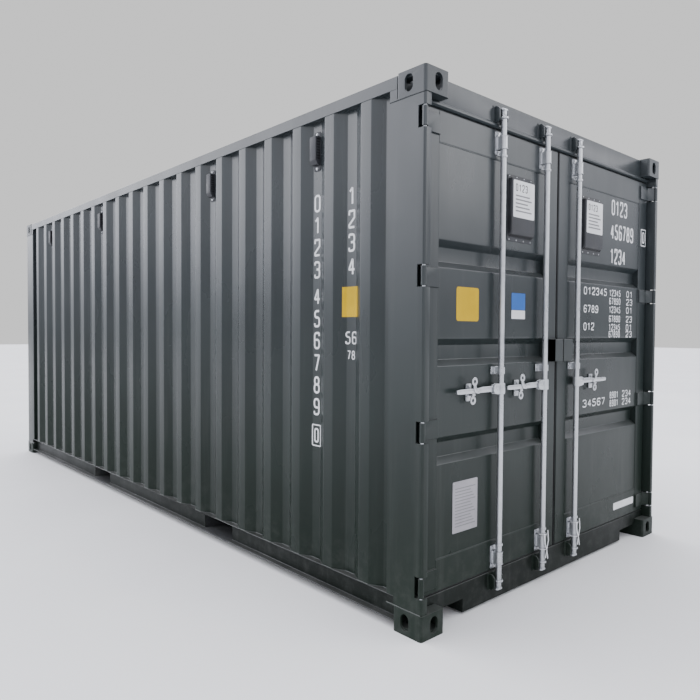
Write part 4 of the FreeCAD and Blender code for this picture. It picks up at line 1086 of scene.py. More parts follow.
class CONTAINER_OT_roof(PieceOperator, bpy.types.Operator):
    """Die-pressed roof: height = level + fold(x) times ramp(y), where the ramp falls from 1 to 0 beside the
    rails"""

    bl_idname = "container.roof"
    bl_label = "Roof"

    def build(self):
        s = settings("sheet")
        lo, hi = corners("roof_panel")
        depth = hi[2] - lo[2] - s.sheet
        section = refined(folds(hi[0] - lo[0], s.roof_pitch, s.roof_crest, s.roof_slope, depth, 0.006), 0.06)
        flat = hi[1] - 0.03
        edge = np.linspace(flat - s.roof_ramp, flat, 7)
        inner = np.linspace(-edge[0], edge[0], 17)[1:-1]
        across = np.concatenate([[lo[1]], -edge[::-1], inner, edge, [hi[1]]])
        share = np.clip((flat - np.abs(across)) / s.roof_ramp, 0, 1)
        ramp = share * share * (3 - 2 * share)
        x, y = np.meshgrid(section[:, 0], across)
        sag = waves(x, y, s.waviness * 2) * (1 - (y / hi[1]) ** 2)
        z = lo[2] + s.sheet + section[None, :, 1] * ramp[:, None] - np.abs(sag)
        upper = np.stack([x, y, z], -1)
        patches = [two_skins(upper, upper - [0, 0, s.sheet])]
        for _, sign in SIDES:
            seam = [(x, sign * (hi[1] - MM), lo[2] + 3 * MM) for x in (lo[0], hi[0])]
            patches.append(weld(seam, 0.004, (0, 0, 1)))
        make("roof_sheet", "container", patches, "panel_paint", ["roof_panel"])


class CONTAINER_OT_floor_boards(PieceOperator, bpy.types.Operator):
    """Plywood floor with sunk screws over every cross beam"""

    bl_idname = "container.floor_boards"
    bl_label = "Floor Boards"

    def build(self):
        bevelled("plywood_floor", "container", "floor_wood", ["floor_boards"], 0.001)
        lo, hi = corners("floor_boards")
        beams = np.linspace(low("floor_beams")[0] + 0.02, high("floor_beams")[0] - 0.02, 15)
        x, y = np.meshgrid(beams, np.linspace(lo[1] + 0.06, hi[1] - 0.06, 16))
        places = np.column_stack([x.ravel(), y.ravel(), np.full(x.size, hi[2])])
        screw = lathe([(0.0, 0.0002), (0.0045, 0.0002), (0.0055, 0.0006), (0.0062, 0.0)], 10)
        make("floor_screws", "container", [copies(screw, places)], "zinc_bolt")


class CONTAINER_OT_side_vents(PieceOperator, bpy.types.Operator):
    """Labyrinth air vents: a screwed strip, a box with a slanted foot, and on its sides dark slot plates painted as
    the shade of louvres
    """

    bl_idname = "container.side_vents"
    bl_label = "Side Vents"

    def build(self):
        pitch = settings("sheet").wall_pitch
        lo, hi = corners("side_vents")
        wide, tall, body = 0.056, hi[2] - lo[2], 0.153
        proud = hi[1] - wall_recess()
        first = lo[0] + wide / 2
        profile = rounded([(0, -body / 2), (proud * 0.55, -body / 2 + 0.004), (proud, -body / 2 + 0.026),
                        (proud, body / 2 - 0.004), (proud - 0.004, body / 2), (0, body / 2)],
                       0.005, 3, closed=True)
        edgewise = ((0, 0, 1), (0, 1, 0), (-1, 0, 0))
        # Louvre slots are thin near-black plates on the box's sides: painted shade for openings that are not cut.
        slot = placed(plate(rectangle(proud * 0.62, 0.0055, 0.002), 0.0016, 0.0004), (0, 0, 0), *edgewise)
        rows = np.linspace(-body / 2 + 0.036, body / 2 - 0.014, 8)
        shell = placed(plate(profile, wide - 0.004, 0.002), (wide / 2 - 0.002, 0, 0.002), *edgewise)
        vent = [(plate(rectangle(wide, tall, 0.012), 0.003, 0.001), "vent_plastic"), (shell, "vent_plastic")]
        vent += [(copies(slot, [(edge, row, proud * 0.55) for row in rows]), "dark_hollow")
                 for edge in (0.0028 - wide / 2, wide / 2 - 0.0012)]
        vent += [(placed(hex_bolt(0.006), (0, end, 0.003)), "zinc_bolt")
                 for end in (0.013 - tall / 2, tall / 2 - 0.013)]
        places = [first, first + 5 * pitch, -first - 4 * pitch, -first]
        for side, sign in SIDES:
            patches = [(seen(patch, (x, sign * wall_recess(), (lo[2] + hi[2]) / 2), side), material)
                       for x in places for patch, material in vent]
            make(side + "_wall_vents", "container", patches, None, ["side_vents"] if side == "right" else [])


class CONTAINER_OT_door_frames(PieceOperator, bpy.types.Operator):
    """Door frames with weld beads at the stiles' joints and round the pressed panel"""

    bl_idname = "container.door_frames"
    bl_label = "Door Frames"

    def build(self):
        size = settings("hardware").weld * 0.75
        for side, _ in SIDES:
            bevelled(side + "_door_stiles", side + "_door", "frame_paint", [side + "_door_frame"], 0.004)
            lo, hi = corners(side + "_door_frame")
            (_, y0, z0), (_, y1, z1) = corners(side + "_door_panel")
            beads = [door_bead([(y0, z0), (y1, z0), (y1, z1), (y0, z1), (y0, z0)], size, -0.0028)]
            beads += [door_bead([(y, start), (y, end)], size, -0.0008)
                      for start, end in ((hi[2] - 0.004, z1), (lo[2] + 0.004, z0)) for y in (y0, y1)]
            make(side + "_door_welds", side + "_door", beads, "frame_paint")


class CONTAINER_OT_door_panels(PieceOperator, bpy.types.Operator):
    """Pressed door panels: one section of level bands carried across, with a slow bulge"""

    bl_idname = "container.door_panels"
    bl_label = "Door Panels"

    def build(self):
        s, d = settings("sheet"), settings("door")
        for side, _ in SIDES:
            node = side + "_door_panel"
            lo, hi = corners(node)
            depth = hi[0] - lo[0] - s.sheet
            tops = hi[2] - d.band_drop - d.band_pitch * np.arange(2, -1, -1)
            steps = np.array([-d.band_height, d.band_slope - d.band_height, -d.band_slope, 0])
            levels = np.concatenate([[lo[2]], (tops[:, None] + steps).ravel(), [hi[2]]])
            section = rounded(np.column_stack([levels, [0, *[0, -depth, -depth, 0] * 3, 0]]), s.bend * 0.6, 5)
            points, faces = sheet_wall(section, np.linspace(lo[1], hi[1], 22), -1, s.sheet, s.waviness)
            panel = np.column_stack([hi[0] + points[:, 1], points[:, 2], points[:, 0]]), faces
            make(side + "_pressed_panel", side + "_door", [panel], "panel_paint", [node])


class CONTAINER_OT_seals(PieceOperator, bpy.types.Operator):
    """Rubber seals: the clamped strip and two lips that follow each door's edge"""

    bl_idname = "container.seals"
    bl_label = "Door Seals"

    def build(self):
        lip = settings("door").lip * 0.95
        for side, sign in SIDES:
            bevelled(side + "_seal_strip", side + "_door", "seal_rubber", [side + "_door_gasket"], 0.002)
            lo, hi = corners(side + "_door_frame")
            near, far = sorted((abs(lo[1]), abs(hi[1])))
            y0, y1 = sorted((sign * (near - 0.0017), sign * (far + 0.0019)))
            z0, z1 = lo[2] - 0.0016, hi[2] + 0.0017
            path = np.array([(0, y0, z0), (0, y1, z0), (0, y1, z1), (0, y0, z1)])
            patches = []
            for start, stop in ((0.0, 0.020), (0.024, 0.046)):
                level = path + [lo[0] + (start + stop) / 2, 0, 0]
                patches.append(carry(rectangle(lip, stop - start, 0.0012, 3), level, (1, 0, 0), closed=True))
            make(side + "_seal_lips", side + "_door", patches, "seal_rubber")


class CONTAINER_OT_hinges(PieceOperator, bpy.types.Operator):
    """Hinge blades and their pins"""

    bl_idname = "container.hinges"
    bl_label = "Hinges"

    def build(self):
        bevelled("hinge_pin_rods", "container", "zinc_bolt", ["hinge_pins"], 0.0008)
        for side, sign in SIDES:
            node = side + "_door_hinges"
            bevelled(side + "_hinge_blades", side + "_door", "frame_paint", [node], 0.002)
            inner = min(abs(low(node)[1]), abs(high(node)[1]))
            y0, y1 = sign * inner, sign * (inner + 0.080)
            beads = [door_bead([(y1, z0), (y0, z0), (y0, z1), (y1, z1)]) for z0, z1 in spans(node, 2)]
            make(side + "_hinge_welds", side + "_door", beads, "frame_paint")


class CONTAINER_OT_vent_hoods(PieceOperator, bpy.types.Operator):
    """Vent hoods: a riveted flange, a shallow dome whose foot leans in, and on that foot dark slot plates painted
    as the shade of louvres
    """

    bl_idname = "container.vent_hoods"
    bl_label = "Vent Hoods"

    def build(self):
        for side, _ in SIDES:
            lo, hi = corners(side + "_door_vent")
            proud, wide, tall = hi - lo
            lean = 0.9
            points, faces = stack(rectangle(wide - 0.014, tall - 0.036, 0.014, 5), [
                (0, 0.002), (0, proud * 0.62), (0.0012, proud - 0.0045), (0.0032, proud - 0.0015),
                (0.007, proud)])
            foot = points[:, 1] < 0.04 - tall / 2
            points[foot, 1] += lean * points[foot, 2]
            slope = unit([0, lean, 1.0])
            # Louvre slots are thin near-black plates on the leaning foot: painted shade for openings that are not
            # cut.
            slot = plate(rectangle(0.010, 0.018, 0.004, 3), 0.001, 0.0003)
            level = 0.018 - tall / 2 + lean / 2 * proud
            spots = [(x, level, proud * 0.46) for x in np.linspace(-0.42, 0.42, 13) * wide]
            louvres = [placed(slot, spot, y=slope, z=np.cross((1, 0, 0), slope)) for spot in spots]
            rivets = [(x, y, 0.003) for y in (0.009 - tall / 2, tall / 2 - 0.009)
                      for x in (-0.1, -0.034, 0.034, 0.1)]
            hood = [(plate(rectangle(wide, tall, 0.012), 0.003, 0.001), "vent_plastic"),
                    ((points, faces), "vent_plastic"), (joined(louvres), "dark_hollow"),
                    (copies(dome_rivet(0.0042), rivets), "zinc_bolt")]
            label = np.array([-0.098, tall / 2 - 0.225, proud])
            hood.append((placed(film(0.196, 0.194, 0.006), label), "patch_white"))
            hood += [(placed(film(0.150 - 0.018 * (k % 3), 0.008, 0.002),
                             label + [0.020, 0.030 + 0.020 * k, FILM]), "patch_grey") for k in range(5)]
            hood.append((placed(number("0123", 0.020, 0.040, 0.005, 0.010), label + [0.020, 0.136, FILM]),
                         "patch_dark"))
            at = lo[0], (lo[1] + hi[1]) / 2, (lo[2] + hi[2]) / 2
            patches = [(seen(patch, at), material) for patch, material in hood]
            make(side + "_vent_hood", side + "_door", patches, None, [side + "_door_vent"])


class CONTAINER_OT_lock_boxes(PieceOperator, bpy.types.Operator):
    """Both halves of the padlock box, with weld beads along their feet"""

    bl_idname = "container.lock_boxes"
    bl_label = "Padlock Box"

    def build(self):
        for side, _ in SIDES:
            node = side + "_lock_box"
            lo, hi = corners(node)
            bevelled(side + "_padlock_box", side + "_door", "frame_paint", [node], 0.003, 3)
            beads = [door_bead([(lo[1] + 0.003, z), (hi[1] - 0.003, z)]) for z in (lo[2], hi[2])]
            make(side + "_padlock_box_welds", side + "_door", beads, "frame_paint")


class CONTAINER_OT_rods(PieceOperator, bpy.types.Operator):
    """Lock rods: a tube with stop collars, a forged cam at both ends and the forked hub of its handle"""

    bl_idname = "container.rods"
    bl_label = "Lock Rods"

    def build(self):
        r = settings("hardware").rod
        core = lathe([(0, 0), (0.0105, 0), (0.0128, 0.002), (0.0128, 0.038), (0.0150, 0.0415),
                      (0.0228, 0.0425), (0.0238, 0.0435), (0.0238, 0.0495), (0.0215, 0.0515), (0, 0.0518)], 28)
        nose = rounded([(0.0125, -0.009), (0.0135, 0.0), (0.0125, 0.009), (-0.002, 0.0138), (-0.016, 0.0105),
                        (-0.0255, 0.0055), (-0.0255, -0.0055), (-0.016, -0.0105), (-0.002, -0.0138)],
                       0.005, 4, closed=True)
        wing = rounded([(0.0125, -0.017), (0.0125, 0.017), (0.004, 0.0235), (-0.010, 0.0235),
                        (-0.0125, 0.016), (-0.0125, -0.016), (-0.010, -0.0235), (0.004, -0.0235)],
                       0.006, 4, closed=True)
        cam = joined([core, placed(plate(nose, 0.028, 0.0025), (0, 0, 0.0085)), plate(wing, 0.0095, 0.002)])
        collar = tube_band(0.0200, r - 0.3 * MM, 0.012, 0.002)
        for prefix, _, way in RODS:
            x, y = joint_place(prefix + "_rod_turn")[:2]
            z0, z1 = low(prefix + "_lock_rod")[2], high(prefix + "_lock_rod")[2]
            tube = lathe([(0, z0), (r - MM, z0), (r, z0 + MM), (r, z1 - MM), (r - MM, z1), (0, z1)], 32)
            collars = copies(collar, [(0, 0, z) for z in COLLAR_HEIGHTS])
            tubes = [placed(tube, (x, y, 0)), placed(collars, (x, y, 0))]
            make(prefix + "_rod_tube", prefix + "_rod", tubes, "galvanised", [prefix + "_lock_rod"])
            foot, head = low(prefix + "_rod_cams")[2], high(prefix + "_rod_cams")[2]
            cams = [placed(cam, (x, y, foot)), placed(cam, (x, y, head), (1, 0, 0), (0, -1, 0), (0, 0, -1))]
            make(prefix + "_forged_cams", prefix + "_rod", cams, "galvanised", [prefix + "_rod_cams"])
            self.hub(prefix, way, x, y)

    def hub(self, prefix, way, x, y):
        """Two ears with a rivet through them on a clasp round the rod, turned to the handle's side."""
        lo, hi = corners(prefix + "_handle_hub")
        half, tall = (hi[0] - lo[0]) / 2, hi[2] - lo[2]
        gap = 0.0056
        pivot = abs(joint_place(prefix + "_handle_lift")[1] - y)
        reach = max(abs(lo[1] - y), abs(hi[1] - y))
        lower = [(-0.004, -tall * 0.48), (reach * 0.55, -tall * 0.49), (reach * 0.90, -tall * 0.40),
                 (reach, -tall * 0.16)]
        outline = lower + [(a, -b) for a, b in reversed(lower)]
        ear = plate(rounded(outline, 0.009, 5, closed=True), half - gap, 0.0018)
        rivet = lathe([(0, -0.0024), (0.006, -0.0018), (0.0085, 0), (0.0085, 2 * half),
                       (0.006, 2 * half + 0.0018), (0, 2 * half + 0.0024)], 18)
        fork = joined([placed(ear, (0, 0, -half)), placed(ear, (0, 0, gap)),
                       placed(rivet, (pivot, 0, -half))])
        fork = seen(turned_way(fork, way), (x, y, (lo[2] + hi[2]) / 2))
        clasp = placed(tube_band(0.0222, 0.0151, tall, 0.0028), (x, y, lo[2]))
        make(prefix + "_forked_hub", prefix + "_rod", [fork, clasp], "galvanised", [prefix + "_handle_hub"])


class CONTAINER_OT_brackets(PieceOperator, bpy.types.Operator):
    """Rod bearings: a bolted foot plate under a strap bent over the rod, above, below and over the handle"""

    bl_idname = "container.brackets"
    bl_label = "Rod Brackets"

    def build(self):
        for side, _ in SIDES:
            lo, hi = corners(side + "_rod_brackets")
            patches = []
            for prefix in rods_of(side):
                x, y, _ = joint_place(prefix + "_rod_turn")
                for z in (hi[2] - BEARING / 2, lo[2] + BEARING / 2):
                    bolts = [(a, b) for a in (-0.019, 0.019) for b in (-0.0465, 0.0465)]
                    patches += self.bearing((x, y, z), 0.066, (0.064, BEARING), bolts)
                    patches += [placed(tube_band(0.0222, 0.0160, 0.004, 0.0012), (x, y, end))
                                for end in (z - 0.033, z + 0.029)]
                bolts = [(-0.0385, 0), (0.0385, 0)]
                patches += self.bearing((x, y, GUIDE_HEIGHT), 0.034, (0.092, 0.040), bolts)
            make(side + "_rod_bearings", side + "_door", patches, "galvanised", [side + "_rod_brackets"])

    def bearing(self, at, tall, foot, bolts):
        """A bolted foot plate and, over the rod, a strap with flat feet, upright sides and a half circle."""
        x, y, z = at
        thick, sheet, radius, reach = 0.004, 0.0035, 0.0179, 0.031
        seat = DOOR_FACE - x + thick + sheet / 2
        path = np.concatenate([[(-reach, seat), (-radius - 0.002, seat), (-radius, seat + 0.002)],
                               arc((0, 0), radius, 180, 0, 15),
                               [(radius, seat + 0.002), (radius + 0.002, seat), (reach, seat)]])
        points, faces = plate(ribbon(path, sheet), tall, 0.0008, 2)
        heads = copies(hex_bolt(0.0072), [(a, b, thick) for a, b in bolts])
        flat = seen(joined([plate(rectangle(*foot, 0.006), thick, 0.001), heads]), (DOOR_FACE, y, z))
        return [flat, placed((points - [0, 0, tall / 2], faces), at, (0, 1, 0), (1, 0, 0), (0, 0, -1))]


class CONTAINER_OT_handles(PieceOperator, bpy.types.Operator):
    """Door handles: a flat forged bar with a thick root, a round eye at the pivot and a hasp for the
    padlock"""

    bl_idname = "container.handles"
    bl_label = "Handles"

    def build(self):
        thick, on_bar = 0.010, 0.0097
        for prefix, _, way in RODS:
            node = prefix + "_handle"
            lo, hi = corners(node)
            pivot, rod = joint_place(prefix + "_handle_lift"), joint_place(prefix + "_rod_turn")
            near, far = abs(pivot[1] - rod[1]), max(abs(lo[1] - rod[1]), abs(hi[1] - rod[1]))
            bar = np.concatenate([arc((near, 0), 0.0150, 100, 260, 11), rounded([
                (near + 0.02, -0.0125), (far - 0.03, -0.0120), (far, -0.0095), (far, 0.0095),
                (far - 0.03, 0.0120), (near + 0.150, 0.0125), (near + 0.115, 0.0172), (near + 0.02, 0.0172)],
                0.008, 4)])
            hasp = ribbon(rounded([(CATCH_REACH - 0.038, -0.004), (CATCH_REACH - 0.010, -0.001),
                                   (CATCH_REACH, 0.030)], 0.012, 5), 0.021)
            parts = joined([plate(bar, thick, 0.0022), placed(plate(hasp, 0.0048, 0.0012), (0, 0, on_bar)),
                            placed(padlock_eye(), (CATCH_REACH, EYE_DROP, on_bar)),
                            placed(dome_rivet(0.0055), (CATCH_REACH - 0.030, -0.003, thick + 0.0042))])
            parts = seen(turned_way(parts, way), (rod[0] - thick / 2, rod[1], pivot[2]))
            make(prefix + "_handle_bar", prefix + "_handle", [parts], "galvanised", [node])


class CONTAINER_OT_catches(PieceOperator, bpy.types.Operator):
    """Handle catches: a bolted foot, a shelf under the bar and a hanging eye"""

    bl_idname = "container.catches"
    bl_label = "Handle Catches"

    def build(self):
        for side, sign in SIDES:
            patches = []
            for prefix in rods_of(side):
                x, rod, _ = joint_place(prefix + "_rod_turn")
                y, level = rod + sign * CATCH_REACH, joint_place(prefix + "_handle_lift")[2]
                foot = joined([plate(rectangle(0.044, 0.086, 0.006), 0.004, 0.001),
                               copies(hex_bolt(0.0062), [(0, 0.030, 0.004)])])
                shelf = slab((DOOR_FACE + 0.003, y - 0.012, level - 0.0245),
                             (x + 0.005, y + 0.012, level - 0.0135))
                neck = placed(plate(rectangle(0.020, 0.022, 0.003), 0.0048, 0.001), (0, -0.0245, 0.0001))
                hanging = joined([placed(padlock_eye(), (0, -EYE_DROP, 0)), neck])
                patches += [seen(foot, (DOOR_FACE, y, level - 0.009)), shelf]
                patches.append(seen(hanging, (x - 0.005, y, level)))
            make(side + "_catches", side + "_door", patches, "galvanised", [side + "_handle_catches"])


class CONTAINER_OT_ties(PieceOperator, bpy.types.Operator):
    """Leftover seal ties: a strap round a lower bearing with two tails hanging in front of the rod"""

    bl_idname = "container.ties"
    bl_label = "Seal Ties"

    def build(self):
        strip = rectangle(0.0080, 0.0014, 0.0005, 2)
        tails = [[(0.0225, 0.020, 0.118), (0.0245, 0.024, 0.060), (0.0255, 0.006, 0.012),
                  (0.0250, -0.004, -0.034)],
                 [(0.0225, -0.019, 0.104), (0.0260, -0.013, 0.055), (0.0270, 0.005, 0.008),
                  (0.0270, 0.016, -0.040)]]
        loops = copies(tube_band(0.0236, 0.0224, 0.0055, 0.0005), [(0, 0, 0.012), (0, 0, 0.095)])
        tie = [loops] + [carry(strip, rounded(tail, 0.020, 6), (1, 0, 0)) for tail in tails]
        for prefix, side in (("inner_left", "left"), ("right", "right")):
            x, y, _ = joint_place(prefix + "_rod_turn")
            patches = [placed(part, (x, y, 0.180)) for part in tie]
            make(prefix + "_seal_tie", side + "_door", patches, "patch_white")


class CONTAINER_OT_welds(PieceOperator, bpy.types.Operator):
    """Weld beads where castings meet posts and rails, and where the walls meet their posts and rails"""

    bl_idname = "container.welds"
    bl_label = "Weld Beads"

    def build(self):
        size = settings("hardware").weld
        base, head = high("bottom_castings")[2], low("top_castings")[2]
        rear, front = corners("rear_posts"), corners("front_posts")
        section = wall_folds()
        beads = []
        for _, sign in SIDES:
            for inner, outer, edge in ((rear[0][0], rear[1][0], SKIN_SIDE),
                                       (front[1][0], front[0][0], front[1][1])):
                ends = inner, outer * 0.9985
                beads += [weld([(x, sign * edge, z) for x in ends], size * 1.2, (0, sign, 0)) for z in (base, head)]
            edge = sign * (SKIN_SIDE - WALL_INSET)
            beads += [weld([(x, edge, RAIL_TOP), (x, edge, WALL_TOP)], size * 0.8, (0, sign, 0))
                      for x in (rear[0][0], front[1][0])]
            foot = np.column_stack([section[:, 0], sign * (wall_recess() + section[:, 1] + 0.0005),
                                    np.full(len(section), RAIL_TOP + MM)])
            beads.append(weld(foot, size * 0.7, (0, 0, 1)))
        make("weld_beads", "container", beads, "frame_paint")


# Markings


def bulged(along, level, share):
    """The slow bulge of a sheet at points, faded out towards both of its ends."""
    return waves(along, level, settings("sheet").waviness) * (4 * share * (1 - share)) ** 0.5


def on_panel(patch, side):
    """A flat drawing (y, z, lift) laid on a door's pressed panel, following its slow bulge."""
    lo, hi = corners(side + "_door_panel")
    points, faces = patch
    y, z, lift = points.T
    bulge = bulged(z, y, np.clip((y - lo[1]) / (hi[1] - lo[1]), 0, 1))
    return np.column_stack([PANEL_FACE + bulge + lift, y, z]), faces


def on_wall(patch, sign):
    """A flat drawing (along, z, lift) laid on a side wall, following its folds and its slow bulge; along
    runs to the right as seen from outside."""
    lo, hi = corners("right_side_wall")
    section = wall_folds(2 * settings("sheet").sheet)
    points, faces = patch
    x, z = -sign * points[:, 0], points[:, 1]
    bulge = bulged(x, z, np.clip((z - lo[2]) / (hi[2] - lo[2]), 0, 1))
    out = wall_recess() + np.interp(x, section[:, 0], section[:, 1]) + bulge + points[:, 2]
    return np.column_stack([x, sign * out, z]), faces


def draped(x0, x1, z0, z1):
    """A rectangle of film with enough columns to follow the folds of a wall."""
    along, level = np.meshgrid(np.linspace(x0, x1, 26), np.linspace(z0, z1, 5))
    front = np.stack([along, level, np.full(along.shape, FILM_GAP + FILM)], -1)
    return two_skins(front, front - [0, 0, FILM])


class CONTAINER_OT_door_marks(PieceOperator, bpy.types.Operator):
    """Plain digits and blank patches on the doors"""

    bl_idname = "container.door_marks"
    bl_label = "Door Marks"

    def build(self):
        self.right_door()
        self.left_door()

    def right_door(self):
        """Rows of digits, each given as figures, y, z, width, height, stroke and gap."""
        rows = [("0123", 0.656, 2.166, 0.044, 0.100, 0.0120, 0.0137),
                ("456789", 0.648, 2.011, 0.042, 0.100, 0.0120, 0.0136),
                ("1234", 0.648, 1.853, 0.042, 0.100, 0.0120, 0.0133),
                ("012345", 0.316, 1.641, 0.038, 0.048, 0.0070, 0.0130),
                ("6789", 0.318, 1.530, 0.036, 0.048, 0.0070, 0.0120),
                ("012", 0.318, 1.421, 0.036, 0.048, 0.0070, 0.0110)]
        for k, z in enumerate((1.643, 1.590, 1.535, 1.476, 1.421, 1.376)):
            rows.append((("12345", "67890")[k % 2], 0.644, z, 0.0235, 0.043, 0.0058, 0.0090))
            rows.append((("01", "23")[k % 2], 0.884, z, 0.036, 0.043, 0.0058, 0.0150))
        rows.append(("34567", 0.323, 0.945, 0.045, 0.048, 0.0070, 0.0145))
        rows += [("8901", 0.673, z, 0.022, 0.044, 0.0058, 0.0090) for z in (0.978, 0.925)]
        rows += [("234", 0.848, z, 0.032, 0.044, 0.0058, 0.0140) for z in (0.978, 0.925)]
        marks = [(on_panel(placed(number(figures, *sizes), (y, z, FILM_GAP)), "right"), "marking_white")
                 for figures, y, z, *sizes in rows]
        boxed = joined([frame_line(0.067, 0.111, 0.007),
                        placed(digit("0", 0.036, 0.078, 0.010), (0.0155, 0.0165, 0))])
        marks.append((seen(boxed, (DOOR_FACE, 1.084, 2.008)), "marking_white"))
        marks.append((seen(film(0.290, 0.046, 0.004), (DOOR_FACE + FILM_GAP, 0.742, 0.233)), "patch_white"))
        make("right_door_marks", "right_door", marks)

    def left_door(self):
        """A blank yellow patch, a blue and white one, and a screwed plate with grey lines."""
        flat = [(placed(film(0.176, 0.166, 0.012), (-0.912, 1.460, FILM_GAP)), "patch_yellow"),
                (placed(plate(rectangle(0.196, 0.253, 0.006), 0.002, 0.0006), (-0.829, 0.5475, 0)),
                 "plate_grey"),
                (placed(film(0.127, 0.090, 0.004), (-0.449, 1.526, FILM_GAP)), "patch_blue"),
                (placed(film(0.127, 0.046, 0.004), (-0.449, 1.478, FILM_GAP)), "patch_white")]
        flat += [(placed(film(0.160 - 0.012 * (k * 5 % 4), 0.0045, 0.001),
                         (-0.909, 0.450 + 0.0155 * k, 0.002)), "patch_grey") for k in range(13)]
        flat += [(placed(dome_rivet(0.0035), (y, z, 0.002)), "zinc_bolt")
                 for y in (-0.919, -0.739) for z in (0.429, 0.666)]
        marks = [(on_panel(patch, "left"), material) for patch, material in flat]
        make("left_door_marks", "left_door", marks)


class CONTAINER_OT_wall_marks(PieceOperator, bpy.types.Operator):
    """Plain digits down both side walls, and a blank yellow patch"""

    bl_idname = "container.wall_marks"
    bl_label = "Wall Marks"

    def build(self):
        pitch = settings("sheet").wall_pitch
        first, second = 8 * pitch, 9 * pitch
        levels = [2.142, 2.024, 1.905, 1.785, 1.643, 1.521, 1.402, 1.281, 1.161, 1.042]
        boxed = joined([frame_line(0.068, 0.113, 0.007),
                        placed(digit("0", 0.038, 0.080, 0.010), (0.015, 0.0165, 0))])
        flat = [(self.figure(name, first, z), "marking_white") for name, z in zip("0123456789", levels)]
        flat.append((placed(boxed, (first - 0.034, 0.782, FILM_GAP)), "marking_white"))
        flat += [(self.figure(name, second, z), "marking_white") for name, z in zip("1234", levels)]
        flat.append((draped(second - 0.058, second + 0.058, 1.480, 1.634), "patch_yellow"))
        small = number("56", 0.036, 0.066, 0.008, 0.012)
        tiny = number("78", 0.024, 0.046, 0.006, 0.009)
        flat += [(placed(small, (second - 0.042, 1.340, FILM_GAP)), "marking_white"),
                 (placed(tiny, (second - 0.0285, 1.262, FILM_GAP)), "marking_white")]
        for side, sign in SIDES:
            marks = [(on_wall(patch, sign), material) for patch, material in flat]
            make(side + "_wall_marks", "container", marks)

    def figure(self, name, along, top):
        """One figure of a column, hung from its top."""
        return placed(digit(name, 0.050, 0.094, 0.0115), (along - 0.025, top - 0.094, FILM_GAP))


# Stage


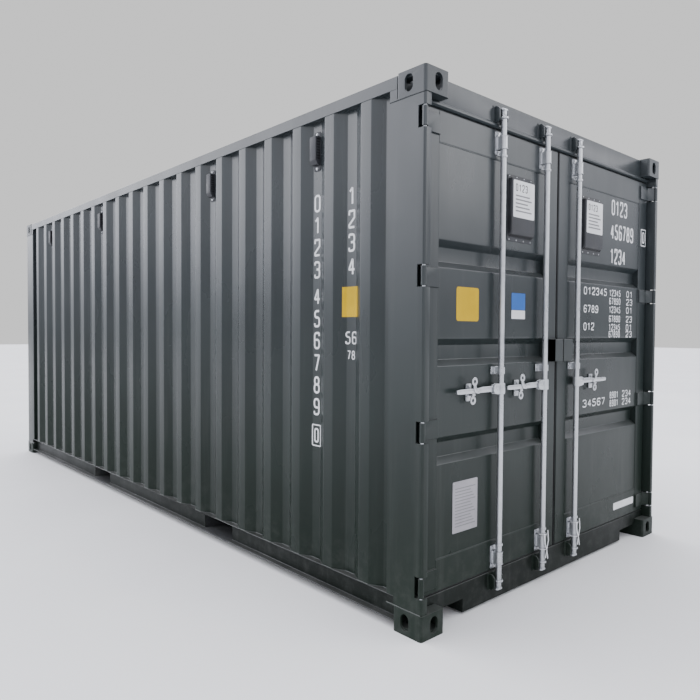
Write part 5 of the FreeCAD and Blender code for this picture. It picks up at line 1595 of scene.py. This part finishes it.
class CONTAINER_OT_stage(PieceOperator, bpy.types.Operator):
    """Floor, soft lights, surroundings and camera"""

    bl_idname = "container.stage"
    bl_label = "Stage"

    def build(self):
        s = settings("stage")
        x, y = np.meshgrid(*[np.linspace(-s.floor_reach, s.floor_reach, 9)] * 2)
        points, faces = grid(np.stack([x, y, np.zeros(x.shape)], -1))
        mesh = bpy.data.meshes.new("studio_floor")
        mesh.from_pydata(points.tolist(), [], faces[0].tolist())
        mesh.materials.append(finish("plain_floor"))
        self.place(bpy.data.objects.new("studio_floor", mesh))
        for name, power, at, size, target in (
            ("top_light", s.top_power, (1.5, 0.5, 9.0), (11.0, 9.0), (0.5, -0.3, 0.0)),
            ("door_light", s.door_power, (9.5, 4.5, 5.2), (6.0, 4.0), (3.0, 0.2, 1.6)),
            ("side_light", s.side_power, (0.5, -9.5, 5.0), (9.0, 4.0), (0.5, -1.2, 1.4)),
        ):
            light = bpy.data.lights.new(name, "AREA")
            light.shape = "RECTANGLE"
            light.size, light.size_y = size
            light.energy = power
            lamp = bpy.data.objects.new(name, light)
            lamp.location = at
            lamp.rotation_euler = (Vector(target) - Vector(at)).to_track_quat("-Z", "Y").to_euler()
            self.place(lamp)
        self.surroundings(s)
        self.camera(s)

    def place(self, item):
        bpy.context.scene.collection.objects.link(item)

    def toward(self, n, way, start, end, low_factor, high_factor):
        """A factor that goes from one number to another as the sky's direction turns towards a way."""
        sockets = {0: n.places["Generated"], 1: way}
        dot = n.add("ShaderNodeVectorMath", sockets, operation="DOT_PRODUCT").outputs["Value"]
        return n.ramp(dot, start, end, low_factor, high_factor)

    def surroundings(self, s):
        """A sky in level bands whose strength changes with direction, and a plain backdrop for the camera."""
        n = Nodes("soft_sky", "worlds", "ShaderNodeOutputWorld")
        bpy.context.scene.world = n.owner
        rise = n.add("ShaderNodeSeparateXYZ", {"Vector": n.places["Generated"]}).outputs["Z"]
        rise = n.add("ShaderNodeMapRange", {"Value": rise, "From Min": -1.0}).outputs["Result"]
        shade = n.add("ShaderNodeValToRGB", {"Fac": rise})
        bands = shade.color_ramp.elements
        bands[0].position, bands[0].color = 0.47, (0.04, 0.045, 0.04, 1)
        bands[1].position, bands[1].color = 0.50, (0.10, 0.11, 0.12, 1)
        for position, colour in ((0.53, (0.34, 0.35, 0.38, 1)), (0.58, (0.80, 0.82, 0.90, 1)),
                                 (0.64, (0.95, 0.96, 1.0, 1)), (0.72, (0.88, 0.88, 0.98, 1)),
                                 (0.82, (0.58, 0.59, 0.64, 1))):
            bands.new(position).color = colour
        by_wall = self.toward(n, (0.12, -0.99, 0.0), 0.55, 0.95, s.sky_strength, 0.30 * s.sky_strength)
        by_corner = self.toward(n, (-0.78, -0.62, 0.0), -0.90, 0.80, 0.62, 1.60)
        light = n.add("ShaderNodeBackground",
                      {"Color": shade.outputs["Color"], "Strength": n.times(by_wall, by_corner)})
        backdrop = n.add("ShaderNodeBackground", {"Color": (0.90, 0.90, 0.90, 1), "Strength": 1.0})
        seen_by_camera = n.add("ShaderNodeLightPath").outputs["Is Camera Ray"]
        both = n.add("ShaderNodeMixShader", {0: seen_by_camera, 1: light.outputs[0], 2: backdrop.outputs[0]})
        n.tree.links.new(both.outputs[0], n.end.inputs["Surface"])

    def camera(self, s):
        data = bpy.data.cameras.new("camera")
        data.lens = s.camera_lens
        data.sensor_width = 36.0
        data.shift_x, data.shift_y = 0.0031, -0.0017
        data.clip_end = 400.0
        camera = bpy.data.objects.new("camera", data)
        turn = Matrix.Identity(4)
        turns = (s.camera_yaw, "Z"), (s.camera_pitch, "X"), (s.camera_roll, "Y"), (math.pi / 2, "X")
        for angle, axis in turns:
            turn = turn @ Matrix.Rotation(angle, 4, axis)
        camera.matrix_world = Matrix.Translation(s.camera_place) @ turn
        self.place(camera)
        bpy.context.scene.camera = camera


class CONTAINER_PT_finisher(bpy.types.Panel):
    """Lists every step in the 3D view's sidebar"""

    bl_idname = "CONTAINER_PT_finisher"
    bl_label = "Container"
    bl_space_type = "VIEW_3D"
    bl_region_type = "UI"
    bl_category = "Container"

    def draw(self, context):
        for operator in STEPS:
            self.layout.operator(operator.bl_idname)
        for name in SETTINGS:
            group = getattr(context.scene, name)
            box = self.layout.box()
            for field in group.bl_rna.properties.keys():
                if field not in ("rna_type", "name"):
                    box.prop(group, field)


STEPS = (
    CONTAINER_OT_castings,
    CONTAINER_OT_frame,
    CONTAINER_OT_understructure,
    CONTAINER_OT_keepers,
    CONTAINER_OT_side_walls,
    CONTAINER_OT_front_wall,
    CONTAINER_OT_roof,
    CONTAINER_OT_floor_boards,
    CONTAINER_OT_side_vents,
    CONTAINER_OT_door_frames,
    CONTAINER_OT_door_panels,
    CONTAINER_OT_seals,
    CONTAINER_OT_hinges,
    CONTAINER_OT_vent_hoods,
    CONTAINER_OT_lock_boxes,
    CONTAINER_OT_rods,
    CONTAINER_OT_brackets,
    CONTAINER_OT_handles,
    CONTAINER_OT_catches,
    CONTAINER_OT_ties,
    CONTAINER_OT_welds,
    CONTAINER_OT_door_marks,
    CONTAINER_OT_wall_marks,
    CONTAINER_OT_stage,
)


def register():
    for cls in (*SETTINGS.values(), *STEPS, CONTAINER_PT_finisher):
        bpy.utils.register_class(cls)
    for name, group in SETTINGS.items():
        setattr(bpy.types.Scene, name, bpy.props.PointerProperty(type=group))


def unregister():
    for name in SETTINGS:
        delattr(bpy.types.Scene, name)
    for cls in reversed((*SETTINGS.values(), *STEPS, CONTAINER_PT_finisher)):
        bpy.utils.unregister_class(cls)


def main():
    register()
    for operator in STEPS:
        getattr(bpy.ops.container, operator.bl_idname.split(".")[1])()


if __name__ == "__main__":
    main()
